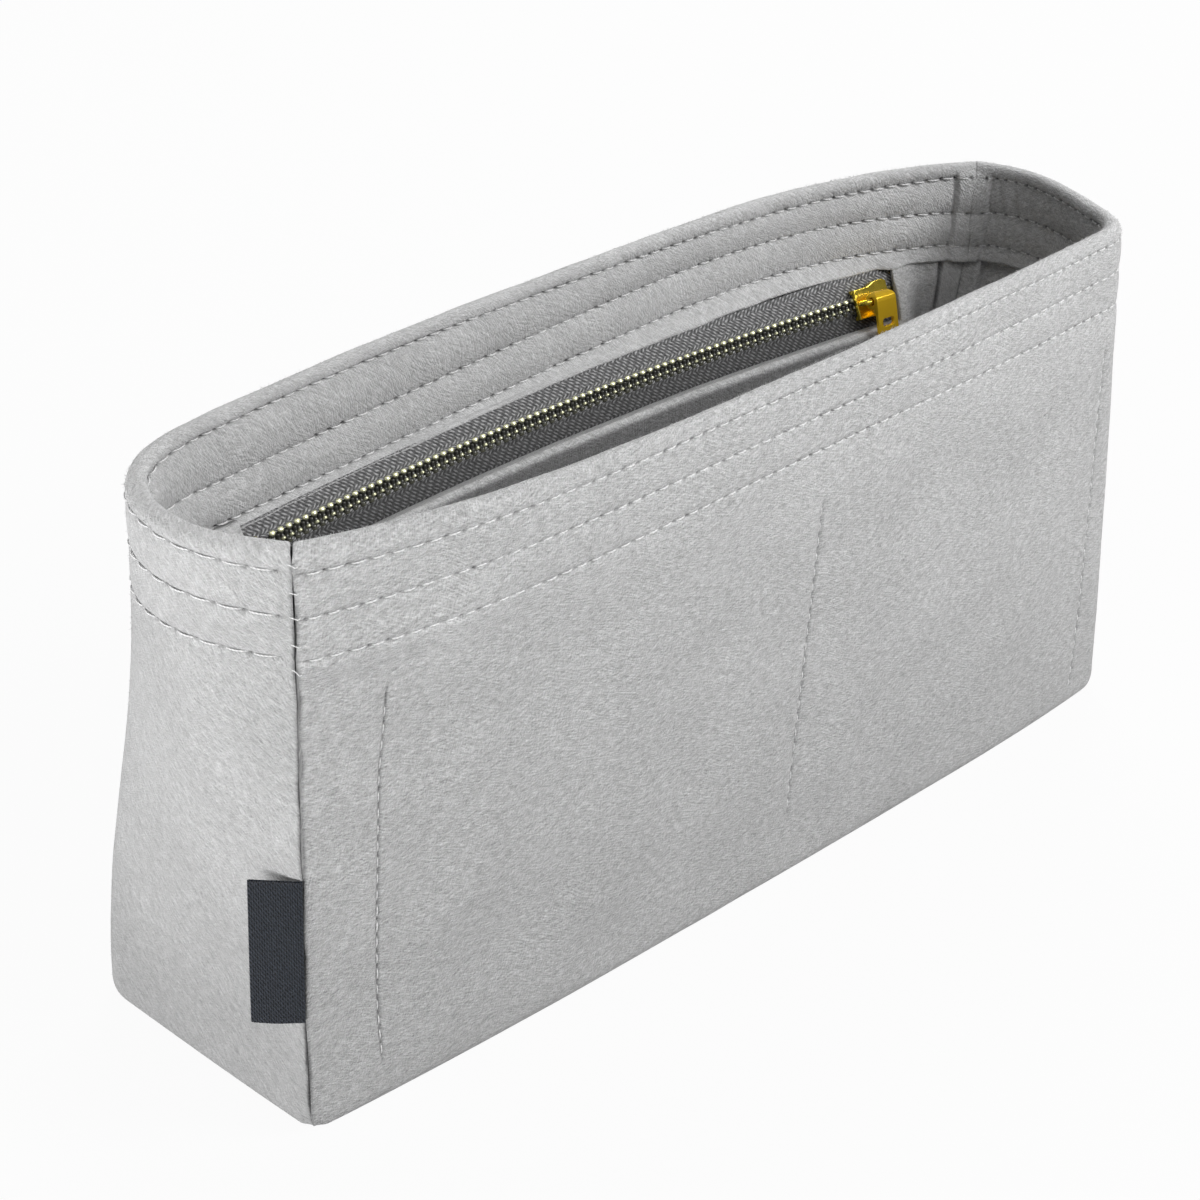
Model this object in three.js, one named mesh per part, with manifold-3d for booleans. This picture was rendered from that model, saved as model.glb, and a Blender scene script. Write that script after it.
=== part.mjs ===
// Purse organizer insert: a felt liner that stands up inside a shoulder bag.
// Two L-shaped felt wraps meet at two sewn corners, fold inwards at the rim and close on a felt base.
// A slip pocket panel lines the front wall, and a zipped pocket hangs on the back wall.
// Millimetres, +X along the length, +Y towards the back wall, +Z up, origin at the middle of the underside.

import * as THREE from 'three';
import { mergeVertices } from 'three/addons/utils/BufferGeometryUtils.js';
import Module from 'manifold-3d';

const wasm = await Module();
wasm.setup();

// Felt and sewing
const FELT = 2.2;
const GAP = 0.3;
const SEAM_ALLOWANCE = 6;
const SEAM_ALLOWANCE_STEP = 0.15;
const HEM_DEPTH = 20.2;
const BOTTOM_EDGE_RADIUS = 1.6;

// Body
const BASE_LENGTH = 212;
const BASE_DEPTH = 57;
const HEIGHT = 100.6;
const BASE_SIDE_BOW = 2.7;
const BASE_END_BOW = 0.2;
const BASE_FOLD_REACH = 7;

// The open rim relaxes to a lopsided oval: how far each corner moves from the base corner below it
const RIM_MOVE_FRONT_LEFT = new THREE.Vector2(4.5, 2.1);
const RIM_MOVE_FRONT_RIGHT = new THREE.Vector2(-2.3, 0.6);
const RIM_MOVE_BACK_RIGHT = new THREE.Vector2(8.2, -9.6);
const RIM_MOVE_BACK_LEFT = new THREE.Vector2(12.8, -7.3);
const RIM_FRONT_BOW = 7.6;
const RIM_FRONT_SKEW = -0.66;
const RIM_RIGHT_BOW = 4.8;
const RIM_RIGHT_SKEW = 0.86;
const RIM_BACK_BOW = 12.9;
const RIM_BACK_SKEW = -0.54;
const RIM_LEFT_BOW = 11.3;
const RIM_LEFT_SKEW = 0;
const RIM_FOLD_REACH = 9.3;
const SIDE_BOW_POWER = 3.5;
const END_BOW_POWER = 2.2;

// Slip pockets inside the front wall: sewn lines as distances along the wall from the front left seam
const POCKET_LINE_LEFT = 13.7;
const POCKET_LINE_MIDDLE = 113;
const POCKET_LINE_RIGHT = 205.5;
const POCKET_EDGE_MARGIN = 2.5;
const POCKET_MOUTH_DROP = 5;
const POCKET_SLACK = 9.6;

// Zipped pocket on the back wall: ends as distances along the wall from the back right seam.
// The window for the zip reaches WINDOW_DEPTH below the middle of the teeth.
const ZIP_PANEL_RIGHT = 7;
const ZIP_PANEL_LEFT = 208;
const WINDOW_RIGHT = 20.9;
const WINDOW_LEFT = 197;
const WINDOW_DEPTH = 6;
const ZIP_TILT = THREE.MathUtils.degToRad(25);
const ZIP_STANDOFF = 2.8;
const ZIP_DROP = 4.3;
const PANEL_LAND = 2;
const PANEL_RETURN = 9;
const TAPE_THICKNESS = 0.6;
const TAPE_TUCK = 4;

// Metal tooth chain
const TOOTH_PITCH = 2;
const TOOTH_WIDTH = 0.9;
const TOOTH_NOSE_WIDTH = 0.6;
const TOOTH_HEAD = 0.7;
const TOOTH_REACH = 2;
const TOOTH_THICKNESS = 2;
const BEAD_WIDTH = 0.9;
const BEAD_THICKNESS = 1.1;
const BEAD_FROM_CENTRE = 0.85;
const STOP_LENGTH = 2.2;
const STOP_WIDTH = 1;
const BOTTOM_STOP_LENGTH = 3;

// Slider, its bail and the pull
const RUNNING_GAP = 0.25;
const SLIDER_REAR = 5.2;
const SLIDER_FRONT = 3.8;
const SLIDER_NECK = 1.6;
const SLIDER_SHOULDER = 0.9;
const SLIDER_SHOULDER_HALF = 3.8;
const SLIDER_NOSE_HALF = 3.3;
const WING_THICKNESS = 0.9;
const FLANGE_WIDTH = 0.8;
const DIAMOND_START = 1;
const DIAMOND_LENGTH = 2.4;
const DIAMOND_HALF = 0.95;
const BAIL_RADIUS = 0.6;
const BAIL_RISE = 2.5;
const BAIL_BEND = 0.5;
const BAIL_START = -3.9;
const PULL_WIDTH = 5.3;
const PULL_LENGTH = 13;
const PULL_THICKNESS = 0.9;
const PULL_CORNER = 1.2;
const PULL_LEAN = THREE.MathUtils.degToRad(12);
const PULL_SLOT_LENGTH = 3;
const PULL_SLOT_WIDTH = 1.6;
const PULL_SLOT_DROP = 4.5;

// Woven loop label held in the front left seam
const LABEL_WIDTH = 8.4;
const LABEL_HEIGHT = 24.4;
const LABEL_BOTTOM = 21;
const LABEL_LAYER = 0.25;
const LABEL_LOOP = 0.2;
const LABEL_SEAT = 0.5;

// Values that follow from the sizes above
const HEM_EDGE = HEIGHT - HEM_DEPTH;
const DOUBLE_FELT = 2 * FELT;
const WRAP_LENGTH = BASE_LENGTH + BASE_DEPTH;
const HALF_LENGTH = BASE_LENGTH / 2;
const HALF_DEPTH = BASE_DEPTH / 2;

const FELT_LOOK = { color: 0xb9b9b9, roughness: 0.95, metalness: 0 };
const TAPE_LOOK = { color: 0x4b4b4d, roughness: 0.9, metalness: 0 };
const BRASS_LOOK = { color: 0xd9d2a0, roughness: 0.3, metalness: 1 };
const GOLD_LOOK = { color: 0xc79a1e, roughness: 0.22, metalness: 1 };
const LABEL_LOOK = { color: 0x15161a, roughness: 0.6, metalness: 0 };

const organizer = new THREE.Group();

function addPiece(name, geometry, look, parent = organizer) {
  const mesh = new THREE.Mesh(geometry, new THREE.MeshStandardMaterial(look));
  mesh.name = name;
  parent.add(mesh);
  return mesh;
}

// Solids as meshes

function signedVolume(position, index) {
  const a = new THREE.Vector3();
  const b = new THREE.Vector3();
  const c = new THREE.Vector3();
  let volume = 0;
  for (let i = 0; i < index.length; i += 3) {
    a.fromBufferAttribute(position, index[i]);
    b.fromBufferAttribute(position, index[i + 1]);
    c.fromBufferAttribute(position, index[i + 2]);
    volume += a.dot(b.cross(c)) / 6;
  }
  return volume;
}

// Triangles that fill a nearly flat closed outline
function capTriangles(points) {
  const normal = new THREE.Vector3();
  points.forEach((p, i) => {
    const q = points[(i + 1) % points.length];
    normal.add(new THREE.Vector3().crossVectors(p, q));
  });
  normal.normalize();
  const across = new THREE.Vector3(0, 0, 1);
  if (Math.abs(normal.z) > 0.9) {
    across.set(1, 0, 0);
  }
  const first = new THREE.Vector3().crossVectors(across, normal).normalize();
  const second = new THREE.Vector3().crossVectors(normal, first);
  const flat = points.map((p) => new THREE.Vector2(p.dot(first), p.dot(second)));
  return THREE.ShapeUtils.triangulateShape(flat, []);
}

// Triangles that fill a strip-like closed outline, rung by rung between its two long edges
function ladderTriangles(points) {
  const triangles = [];
  for (let low = 0, high = points.length - 1; high - low > 1; low += 1, high -= 1) {
    triangles.push([low, low + 1, high]);
    if (high - low > 2) {
      triangles.push([low + 1, high - 1, high]);
    }
  }
  return triangles;
}

// Closed solid through a row of closed sections, with caps at both ends
function loft(sections, capOf = capTriangles) {
  const count = sections[0].length;
  const points = sections.flat();
  const index = [];
  for (let i = 0; i + 1 < sections.length; i += 1) {
    const here = i * count;
    const next = here + count;
    for (let j = 0; j < count; j += 1) {
      const k = (j + 1) % count;
      index.push(here + j, next + j, next + k);
      index.push(here + j, next + k, here + k);
    }
  }
  const lastStart = (sections.length - 1) * count;
  capOf(sections[0]).forEach(([a, b, c]) => index.push(a, b, c));
  capOf(sections[sections.length - 1]).forEach(([a, b, c]) => {
    index.push(lastStart + a, lastStart + c, lastStart + b);
  });
  const geometry = new THREE.BufferGeometry();
  const flat = points.flatMap((p) => p.toArray());
  geometry.setAttribute('position', new THREE.Float32BufferAttribute(flat, 3));
  if (signedVolume(geometry.attributes.position, index) < 0) {
    for (let i = 0; i < index.length; i += 3) {
      [index[i], index[i + 1]] = [index[i + 1], index[i]];
    }
  }
  geometry.setIndex(index);
  geometry.computeVertexNormals();
  return geometry;
}

function toSolid(geometry) {
  const plain = geometry.clone();
  plain.deleteAttribute('normal');
  plain.deleteAttribute('uv');
  const merged = mergeVertices(plain, 1e-4);
  return new wasm.Manifold(new wasm.Mesh({
    numProp: 3,
    vertProperties: new Float32Array(merged.attributes.position.array),
    triVerts: new Uint32Array(merged.index.array),
  }));
}

function fromSolid(solid) {
  const mesh = solid.getMesh();
  const geometry = new THREE.BufferGeometry();
  geometry.setAttribute('position', new THREE.BufferAttribute(new Float32Array(mesh.vertProperties), 3));
  geometry.setIndex(new THREE.BufferAttribute(new Uint32Array(mesh.triVerts), 1));
  geometry.computeVertexNormals();
  return geometry;
}

function joinSolids(geometries) {
  return geometries.map(toSolid).reduce((whole, piece) => whole.add(piece));
}

function extrude(outline, depth, holes = []) {
  const shape = new THREE.Shape(outline);
  shape.holes = holes.map((hole) => new THREE.Path(hole));
  return new THREE.ExtrudeGeometry(shape, { depth, bevelEnabled: false, steps: 1 });
}

function arcPoints(centreX, centreY, radius, from, to, steps) {
  return Array.from({ length: steps + 1 }, (_, i) => {
    const angle = from + ((to - from) * i) / steps;
    return new THREE.Vector2(centreX + radius * Math.cos(angle), centreY + radius * Math.sin(angle));
  });
}

function roundedRectangle(left, right, bottom, top, radius, steps) {
  const quarter = Math.PI / 2;
  return [
    ...arcPoints(right - radius, bottom + radius, radius, -quarter, 0, steps),
    ...arcPoints(right - radius, top - radius, radius, 0, quarter, steps),
    ...arcPoints(left + radius, top - radius, radius, quarter, 2 * quarter, steps),
    ...arcPoints(left + radius, bottom + radius, radius, 2 * quarter, 3 * quarter, steps),
  ];
}

// Walls. Each wrap runs anticlockwise in plan: a long side, a folded corner and a short end.

const CORNERS = {
  frontLeft: { base: new THREE.Vector2(-HALF_LENGTH, -HALF_DEPTH), move: RIM_MOVE_FRONT_LEFT },
  frontRight: { base: new THREE.Vector2(HALF_LENGTH, -HALF_DEPTH), move: RIM_MOVE_FRONT_RIGHT },
  backRight: { base: new THREE.Vector2(HALF_LENGTH, HALF_DEPTH), move: RIM_MOVE_BACK_RIGHT },
  backLeft: { base: new THREE.Vector2(-HALF_LENGTH, HALF_DEPTH), move: RIM_MOVE_BACK_LEFT },
};

const FRONT_WRAP = {
  corners: ['frontLeft', 'frontRight', 'backRight'],
  rimBows: [RIM_FRONT_BOW, RIM_RIGHT_BOW],
  rimSkews: [RIM_FRONT_SKEW, RIM_RIGHT_SKEW],
};
const BACK_WRAP = {
  corners: ['backRight', 'backLeft', 'frontLeft'],
  rimBows: [RIM_BACK_BOW, RIM_LEFT_BOW],
  rimSkews: [RIM_BACK_SKEW, RIM_LEFT_SKEW],
};
FRONT_WRAP.before = BACK_WRAP;
FRONT_WRAP.after = BACK_WRAP;
BACK_WRAP.before = FRONT_WRAP;
BACK_WRAP.after = FRONT_WRAP;

// The outline eases from the base to the rim over the whole height
function rimShare(z) {
  return THREE.MathUtils.smoothstep(z, 0, HEIGHT);
}

function cornerAt(name, share) {
  const corner = CORNERS[name];
  return corner.base.clone().addScaledVector(corner.move, share);
}

// One side of the outline, bowed outwards between two corners
class BowedSide extends THREE.Curve {
  constructor(start, end, bow, skew, power) {
    super();
    Object.assign(this, { start, end, bow, skew, power });
    const along = end.clone().sub(start).normalize();
    this.outward = new THREE.Vector2(along.y, -along.x);
  }

  getPoint(t) {
    const s = 2 * t - 1;
    const swell = this.bow * (1 - Math.abs(s) ** this.power) * (1 + this.skew * s);
    return this.start.clone().lerp(this.end, t).addScaledVector(this.outward, swell);
  }
}

function crossing(p, along, q, other) {
  const gap = q.clone().sub(p);
  const distance = gap.cross(other) / along.cross(other);
  return p.clone().addScaledVector(along, distance);
}

// A wrap's whole outline at one height: long side, rounded fold, short end
function wallCurve(wrap, z) {
  const share = rimShare(z);
  const [start, fold, end] = wrap.corners.map((name) => cornerAt(name, share));
  const baseBows = [BASE_SIDE_BOW, BASE_END_BOW];
  const bows = wrap.rimBows.map((bow, i) => THREE.MathUtils.lerp(baseBows[i], bow, share));
  const skews = wrap.rimSkews.map((skew) => skew * share);
  const reach = THREE.MathUtils.lerp(BASE_FOLD_REACH, RIM_FOLD_REACH, share);
  const side = new BowedSide(start, fold, bows[0], skews[0], SIDE_BOW_POWER);
  const short = new BowedSide(fold, end, bows[1], skews[1], END_BOW_POWER);
  const cut = 1 - reach / start.distanceTo(fold);
  const resume = reach / fold.distanceTo(end);
  const before = side.getPoint(cut);
  const after = short.getPoint(resume);
  const middle = crossing(before, side.getTangent(cut), after, short.getTangent(resume));
  const corner = new THREE.QuadraticBezierCurve(before, middle, after);
  const whole = new THREE.Curve();
  const spans = [0.72, 0.8];
  whole.getPoint = (t) => {
    if (t <= spans[0]) {
      return side.getPoint((t / spans[0]) * cut);
    }
    if (t <= spans[1]) {
      return corner.getPoint((t - spans[0]) / (spans[1] - spans[0]));
    }
    return short.getPoint(THREE.MathUtils.mapLinear(t, spans[1], 1, resume, 1));
  };
  whole.arcLengthDivisions = 600;
  return whole;
}

const curveStore = new Map();

function curveAt(wrap, z) {
  const key = `${wrap.corners[0]} ${z.toFixed(4)}`;
  if (!curveStore.has(key)) {
    curveStore.set(key, wallCurve(wrap, z));
  }
  return curveStore.get(key);
}

function inwardNormal(tangent) {
  return new THREE.Vector2(-tangent.y, tangent.x);
}

// Direction in which an inset leaves the outline, mitred where two wraps are sewn together
function insetDirection(wrap, distance, z) {
  const own = inwardNormal(curveAt(wrap, z).getTangentAt(distance / WRAP_LENGTH));
  let other = own;
  if (distance === 0) {
    other = inwardNormal(curveAt(wrap.before, z).getTangentAt(1));
  }
  if (distance === WRAP_LENGTH) {
    other = inwardNormal(curveAt(wrap.after, z).getTangentAt(0));
  }
  return own.clone().add(other).divideScalar(1 + own.dot(other));
}

// Point at a distance along a wrap, at height z, set in from its outer face
function wallPoint(wrap, distance, z, inset) {
  const plan = curveAt(wrap, z).getPointAt(distance / WRAP_LENGTH);
  plan.addScaledVector(insetDirection(wrap, distance, z), inset);
  return new THREE.Vector3(plan.x, plan.y, z);
}

function evenly(from, to, count) {
  return Array.from({ length: count + 1 }, (_, i) => from + ((to - from) * i) / count);
}

// Closed profile of a wrap: up the outer face, over the folded rim, down the hem and the inner face
function wrapProfile(innerInset) {
  const edge = BOTTOM_EDGE_RADIUS;
  const bottomRound = [0, 1, 2].map((i) => {
    const angle = (i * Math.PI) / 4;
    return [edge * (1 - Math.cos(angle)), edge * (1 - Math.sin(angle))];
  });
  const rim = [0, 1, 2, 3, 4].map((i) => {
    const angle = (i * Math.PI) / 4;
    return [HEIGHT - FELT * (1 - Math.sin(angle)), FELT * (1 - Math.cos(angle))];
  });
  const heights = evenly(BOTTOM_EDGE_RADIUS, HEM_EDGE, 6).slice(1);
  const allowanceStart = SEAM_ALLOWANCE + FELT;
  const inner = evenly(HEM_EDGE, allowanceStart, 5).slice(1);
  return [
    ...bottomRound,
    ...heights.map((z) => [z, 0]),
    ...rim,
    [HEM_EDGE, DOUBLE_FELT],
    [HEM_EDGE, innerInset],
    ...inner.map((z) => [z, innerInset]),
    [allowanceStart - FELT / 3, FELT],
    [0, FELT],
  ];
}

function wrapStations() {
  const foldStart = BASE_LENGTH - 2 * RIM_FOLD_REACH;
  const foldEnd = BASE_LENGTH + 2 * RIM_FOLD_REACH;
  const inside = SEAM_ALLOWANCE + SEAM_ALLOWANCE_STEP;
  return [
    0,
    SEAM_ALLOWANCE,
    ...evenly(inside, foldStart, 15),
    ...evenly(foldStart, foldEnd, 10).slice(1),
    ...evenly(foldEnd, WRAP_LENGTH - inside, 5).slice(1),
    WRAP_LENGTH - SEAM_ALLOWANCE,
    WRAP_LENGTH,
  ];
}

function wrapGeometry(wrap) {
  const doubled = DOUBLE_FELT - SEAM_ALLOWANCE_STEP;
  const sections = wrapStations().map((distance) => {
    const nearSeam = distance <= SEAM_ALLOWANCE || distance >= WRAP_LENGTH - SEAM_ALLOWANCE;
    const profile = wrapProfile(nearSeam ? doubled : FELT);
    return profile.map(([z, inset]) => {
      const point = wallPoint(wrap, distance, z, inset);
      if (distance === 0 || distance === WRAP_LENGTH) {
        const tangent = curveAt(wrap, z).getTangentAt(distance / WRAP_LENGTH);
        const clear = (GAP / 2) * insetDirection(wrap, distance, z).length();
        const pull = distance === 0 ? clear : -clear;
        point.x += tangent.x * pull;
        point.y += tangent.y * pull;
      }
      return point;
    });
  });
  return loft(sections, ladderTriangles);
}

// Felt base with its seam allowance turned up inside the walls
function baseGeometry() {
  const outer = FELT + GAP;
  const inner = outer + FELT;
  const chamfer = FELT / 4;
  const rings = [
    [0, outer + chamfer],
    [chamfer, outer],
    [SEAM_ALLOWANCE, outer],
    [SEAM_ALLOWANCE, inner],
    [FELT, inner],
  ];
  const spread = wrapStations().filter((distance) => distance > inner && distance < WRAP_LENGTH - inner);
  const stations = [FRONT_WRAP, BACK_WRAP].flatMap((wrap) => {
    return [0, ...spread].map((distance) => ({ wrap, distance }));
  });
  const sections = rings.map(([z, inset]) => {
    return stations.map(({ wrap, distance }) => wallPoint(wrap, distance, z, inset));
  });
  return loft(sections);
}

addPiece('front_wrap', wrapGeometry(FRONT_WRAP), FELT_LOOK);
addPiece('back_wrap', wrapGeometry(BACK_WRAP), FELT_LOOK);
addPiece('base_panel', baseGeometry(), FELT_LOOK);

// Slip pockets: one panel sewn to the front wall along three upright lines, slack in between

function pocketSlack(distance, z, bottom, top) {
  const lines = [POCKET_LINE_LEFT, POCKET_LINE_MIDDLE, POCKET_LINE_RIGHT];
  const bay = lines.findIndex((line, i) => i < 2 && distance >= line && distance <= lines[i + 1]);
  if (bay < 0) {
    return 0;
  }
  const across = (distance - lines[bay]) / (lines[bay + 1] - lines[bay]);
  const up = Math.sin((Math.PI / 2) * ((z - bottom) / (top - bottom)));
  return POCKET_SLACK * Math.sin(Math.PI * across) ** 2 * up;
}

function frontPocketGeometry() {
  const bottom = SEAM_ALLOWANCE + GAP;
  const top = HEM_EDGE - POCKET_MOUTH_DROP;
  const heights = evenly(bottom, top, 6);
  const seat = FELT + GAP;
  const stations = [
    POCKET_LINE_LEFT - POCKET_EDGE_MARGIN,
    ...evenly(POCKET_LINE_LEFT, POCKET_LINE_MIDDLE, 10),
    ...evenly(POCKET_LINE_MIDDLE, POCKET_LINE_RIGHT, 10).slice(1),
    POCKET_LINE_RIGHT + POCKET_EDGE_MARGIN,
  ];
  const sections = stations.map((distance) => {
    const face = (z, extra) => {
      const inset = seat + pocketSlack(distance, z, bottom, top) + extra;
      return wallPoint(FRONT_WRAP, distance, z, inset);
    };
    return [...heights.map((z) => face(z, 0)), ...heights.toReversed().map((z) => face(z, FELT))];
  });
  return loft(sections);
}

addPiece('front_pocket_panel', frontPocketGeometry(), FELT_LOOK);

// The zip lies on a cone about an upright axis, so its slider follows the bowed back wall on one arc.
// In the cone's section, v runs up the tape and n stands off it towards the front.

const ZIP_HEIGHT = HEM_EDGE - ZIP_DROP;
const ZIP_INSET = DOUBLE_FELT + ZIP_STANDOFF;

function circleThrough(a, b, c) {
  const middleOf = (p, q) => p.clone().add(q).multiplyScalar(0.5);
  const bisector = (p, q) => inwardNormal(q.clone().sub(p).normalize());
  const centre = crossing(middleOf(a, b), bisector(a, b), middleOf(b, c), bisector(b, c));
  return { centre, radius: centre.distanceTo(a) };
}

function zipPlanPoint(distance) {
  const point = wallPoint(BACK_WRAP, distance, ZIP_HEIGHT, ZIP_INSET);
  return new THREE.Vector2(point.x, point.y);
}

const ZIP_MIDDLE = (WINDOW_LEFT + WINDOW_RIGHT) / 2;
const zipArc = circleThrough(zipPlanPoint(WINDOW_RIGHT), zipPlanPoint(ZIP_MIDDLE), zipPlanPoint(WINDOW_LEFT));

// Turn about the arc's centre, counted anticlockwise from +X
function turnOf(point) {
  return Math.atan2(point.y - zipArc.centre.y, point.x - zipArc.centre.x);
}

function zipRadius(v, n) {
  return zipArc.radius + v * Math.sin(ZIP_TILT) - n * Math.cos(ZIP_TILT);
}

function zipLevel(v, n) {
  return ZIP_HEIGHT + v * Math.cos(ZIP_TILT) + n * Math.sin(ZIP_TILT);
}

function zipPoint(turn, v, n) {
  const radius = zipRadius(v, n);
  const x = zipArc.centre.x + radius * Math.cos(turn);
  const y = zipArc.centre.y + radius * Math.sin(turn);
  return new THREE.Vector3(x, y, zipLevel(v, n));
}

function zipSweep(outline, turns) {
  return loft(turns.map((turn) => outline.map(([v, n]) => zipPoint(turn, v, n))));
}

// Frame at a place on the zip: x towards the closed end, y up the tape, z standing off it
function zipFrame(turn) {
  const along = new THREE.Vector3(Math.sin(turn), -Math.cos(turn), 0);
  const up = zipPoint(turn, 1, 0).sub(zipPoint(turn, 0, 0));
  const out = zipPoint(turn, 0, 1).sub(zipPoint(turn, 0, 0));
  return new THREE.Matrix4().makeBasis(along, up, out).setPosition(zipPoint(turn, 0, 0));
}

const turnPerLength = 1 / zipArc.radius;
const windowRightTurn = turnOf(zipPlanPoint(WINDOW_RIGHT));
const windowLeftTurn = turnOf(zipPlanPoint(WINDOW_LEFT));
const sliderTurn = windowRightTurn + (DIAMOND_START + DIAMOND_LENGTH + STOP_LENGTH + 2 * GAP) * turnPerLength;
const chainRightTurn = sliderTurn - (DIAMOND_START - GAP - TOOTH_WIDTH) * turnPerLength;
const bottomStopTurn = windowLeftTurn - (BOTTOM_STOP_LENGTH + GAP) * turnPerLength;
const chainLength = (bottomStopTurn - chainRightTurn) * zipArc.radius;
const toothCount = Math.floor((chainLength - TOOTH_WIDTH) / TOOTH_PITCH);

// Felt panel of the zipped pocket: against the wall at its foot and sides, out at the zip in between
const PANEL_SEAT = FELT + GAP;
const PANEL_BEHIND = TAPE_THICKNESS / 2 + GAP;
const panelBottom = SEAM_ALLOWANCE + GAP;
const panelTop = HEM_EDGE - GAP;
const sillHeight = zipLevel(-WINDOW_DEPTH, PANEL_BEHIND);

// Inset at which a line into the room from the back wall meets a circle about the zip's axis
function insetToRadius(distance, z, radius) {
  const start = wallPoint(BACK_WRAP, distance, z, 0);
  const from = new THREE.Vector2(start.x, start.y).sub(zipArc.centre);
  const direction = insetDirection(BACK_WRAP, distance, z);
  const half = from.dot(direction);
  return -half - Math.sqrt(half * half - from.lengthSq() + radius * radius);
}

function panelInset(distance, z) {
  const rightLand = WINDOW_RIGHT - PANEL_LAND;
  const leftLand = WINDOW_LEFT + PANEL_LAND;
  const fromRight = THREE.MathUtils.smoothstep(distance, rightLand - PANEL_RETURN, rightLand);
  const fromLeft = 1 - THREE.MathUtils.smoothstep(distance, leftLand, leftLand + PANEL_RETURN);
  const level = z - ZIP_HEIGHT - PANEL_BEHIND * Math.sin(ZIP_TILT);
  const v = Math.max(level / Math.cos(ZIP_TILT), -WINDOW_DEPTH);
  const atZip = insetToRadius(distance, z, zipRadius(v, PANEL_BEHIND));
  const rise = THREE.MathUtils.clamp((z - panelBottom) / (sillHeight - panelBottom), 0, 1);
  const out = Math.sin((Math.PI / 2) * rise) * fromRight * fromLeft;
  return THREE.MathUtils.lerp(PANEL_SEAT, Math.max(atZip, PANEL_SEAT), out);
}

function zipPanelGeometry() {
  const heights = [...evenly(panelBottom, sillHeight, 6), ...evenly(sillHeight, panelTop, 3).slice(1)];
  const stations = [
    ...evenly(ZIP_PANEL_RIGHT, WINDOW_RIGHT, 6),
    ...evenly(WINDOW_RIGHT, WINDOW_LEFT, 18).slice(1),
    ...evenly(WINDOW_LEFT, ZIP_PANEL_LEFT, 5).slice(1),
  ];
  const whole = loft(stations.map((distance) => {
    const face = (z, extra) => wallPoint(BACK_WRAP, distance, z, panelInset(distance, z) + extra);
    return [...heights.map((z) => face(z, 0)), ...heights.toReversed().map((z) => face(z, FELT))];
  }));
  const reach = HEM_DEPTH;
  const opening = [
    [-WINDOW_DEPTH, -reach],
    [reach, -reach],
    [reach, reach],
    [-WINDOW_DEPTH, reach],
  ];
  const window = zipSweep(opening, evenly(windowRightTurn, windowLeftTurn, 18));
  return fromSolid(toSolid(whole).subtract(toSolid(window)));
}

addPiece('zip_pocket_panel', zipPanelGeometry(), FELT_LOOK);

// Woven tapes: the upper one ends under the hem, the lower one turns down behind the panel's top edge
const tapeInner = TOOTH_REACH + GAP;
const tapeUpperEdge = (panelTop - TAPE_THICKNESS / 2 - ZIP_HEIGHT) / Math.cos(ZIP_TILT);
const tapeTurns = evenly(windowRightTurn, windowLeftTurn, 24);

function upperTapeGeometry() {
  const half = TAPE_THICKNESS / 2;
  return zipSweep([
    [tapeInner, -half],
    [tapeUpperEdge, -half],
    [tapeUpperEdge, half],
    [tapeInner, half],
  ], tapeTurns);
}

function lowerTapeGeometry() {
  const half = TAPE_THICKNESS / 2;
  const lean = Math.sin(ZIP_TILT);
  const drop = Math.cos(ZIP_TILT);
  const mitre = half * Math.tan(ZIP_TILT / 2);
  const bend = -WINDOW_DEPTH;
  const end = [bend - TAPE_TUCK * drop, -TAPE_TUCK * lean];
  return zipSweep([
    [-tapeInner, half],
    [bend - mitre, half],
    [end[0] - half * lean, end[1] + half * drop],
    [end[0] + half * lean, end[1] - half * drop],
    [bend + mitre, -half],
    [-tapeInner, -half],
  ], tapeTurns);
}

addPiece('upper_tape', upperTapeGeometry(), TAPE_LOOK);
addPiece('lower_tape', lowerTapeGeometry(), TAPE_LOOK);

// Tooth rows: every tooth is crimped on the corded edge of its tape, and the two rows interlock.
// A tooth is a tapered block, and the cord runs into the middle of its two flanks.
function toothRowGeometry(side, offset) {
  const half = TOOTH_WIDTH / 2;
  const nose = TOOTH_NOSE_WIDTH / 2;
  const level = TOOTH_THICKNESS / 2;
  const cordLevel = BEAD_THICKNESS / 2;
  const flankAt = (v) => THREE.MathUtils.mapLinear(v, -TOOTH_HEAD, TOOTH_REACH, nose, half);
  const block = [[-TOOTH_HEAD, -level], [TOOTH_REACH, -level], [TOOTH_REACH, level], [-TOOTH_HEAD, level]];
  const cordOuter = BEAD_FROM_CENTRE + BEAD_WIDTH;
  const cord = [
    [BEAD_FROM_CENTRE, -cordLevel],
    [cordOuter, -cordLevel],
    [cordOuter, cordLevel],
    [BEAD_FROM_CENTRE, cordLevel],
  ];
  const firstTurn = chainRightTurn + (offset + half) * turnPerLength;
  const turns = Array.from({ length: toothCount }, (_, i) => firstTurn + i * TOOTH_PITCH * turnPerLength);
  const flank = (outline, turn, hand) => outline.map(([v, n]) => {
    return zipPoint(turn + hand * flankAt(v) * turnPerLength, side * v, n);
  });
  const sections = turns.flatMap((turn, i) => [
    ...(i > 0 ? [flank(cord, turn, -1)] : []),
    flank(block, turn, -1),
    flank(block, turn, 1),
    ...(i + 1 < toothCount ? [flank(cord, turn, 1)] : []),
  ]);
  return loft(sections);
}

addPiece('upper_tooth_row', toothRowGeometry(1, 0), BRASS_LOOK);
addPiece('lower_tooth_row', toothRowGeometry(-1, TOOTH_PITCH / 2), BRASS_LOOK);

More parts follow.
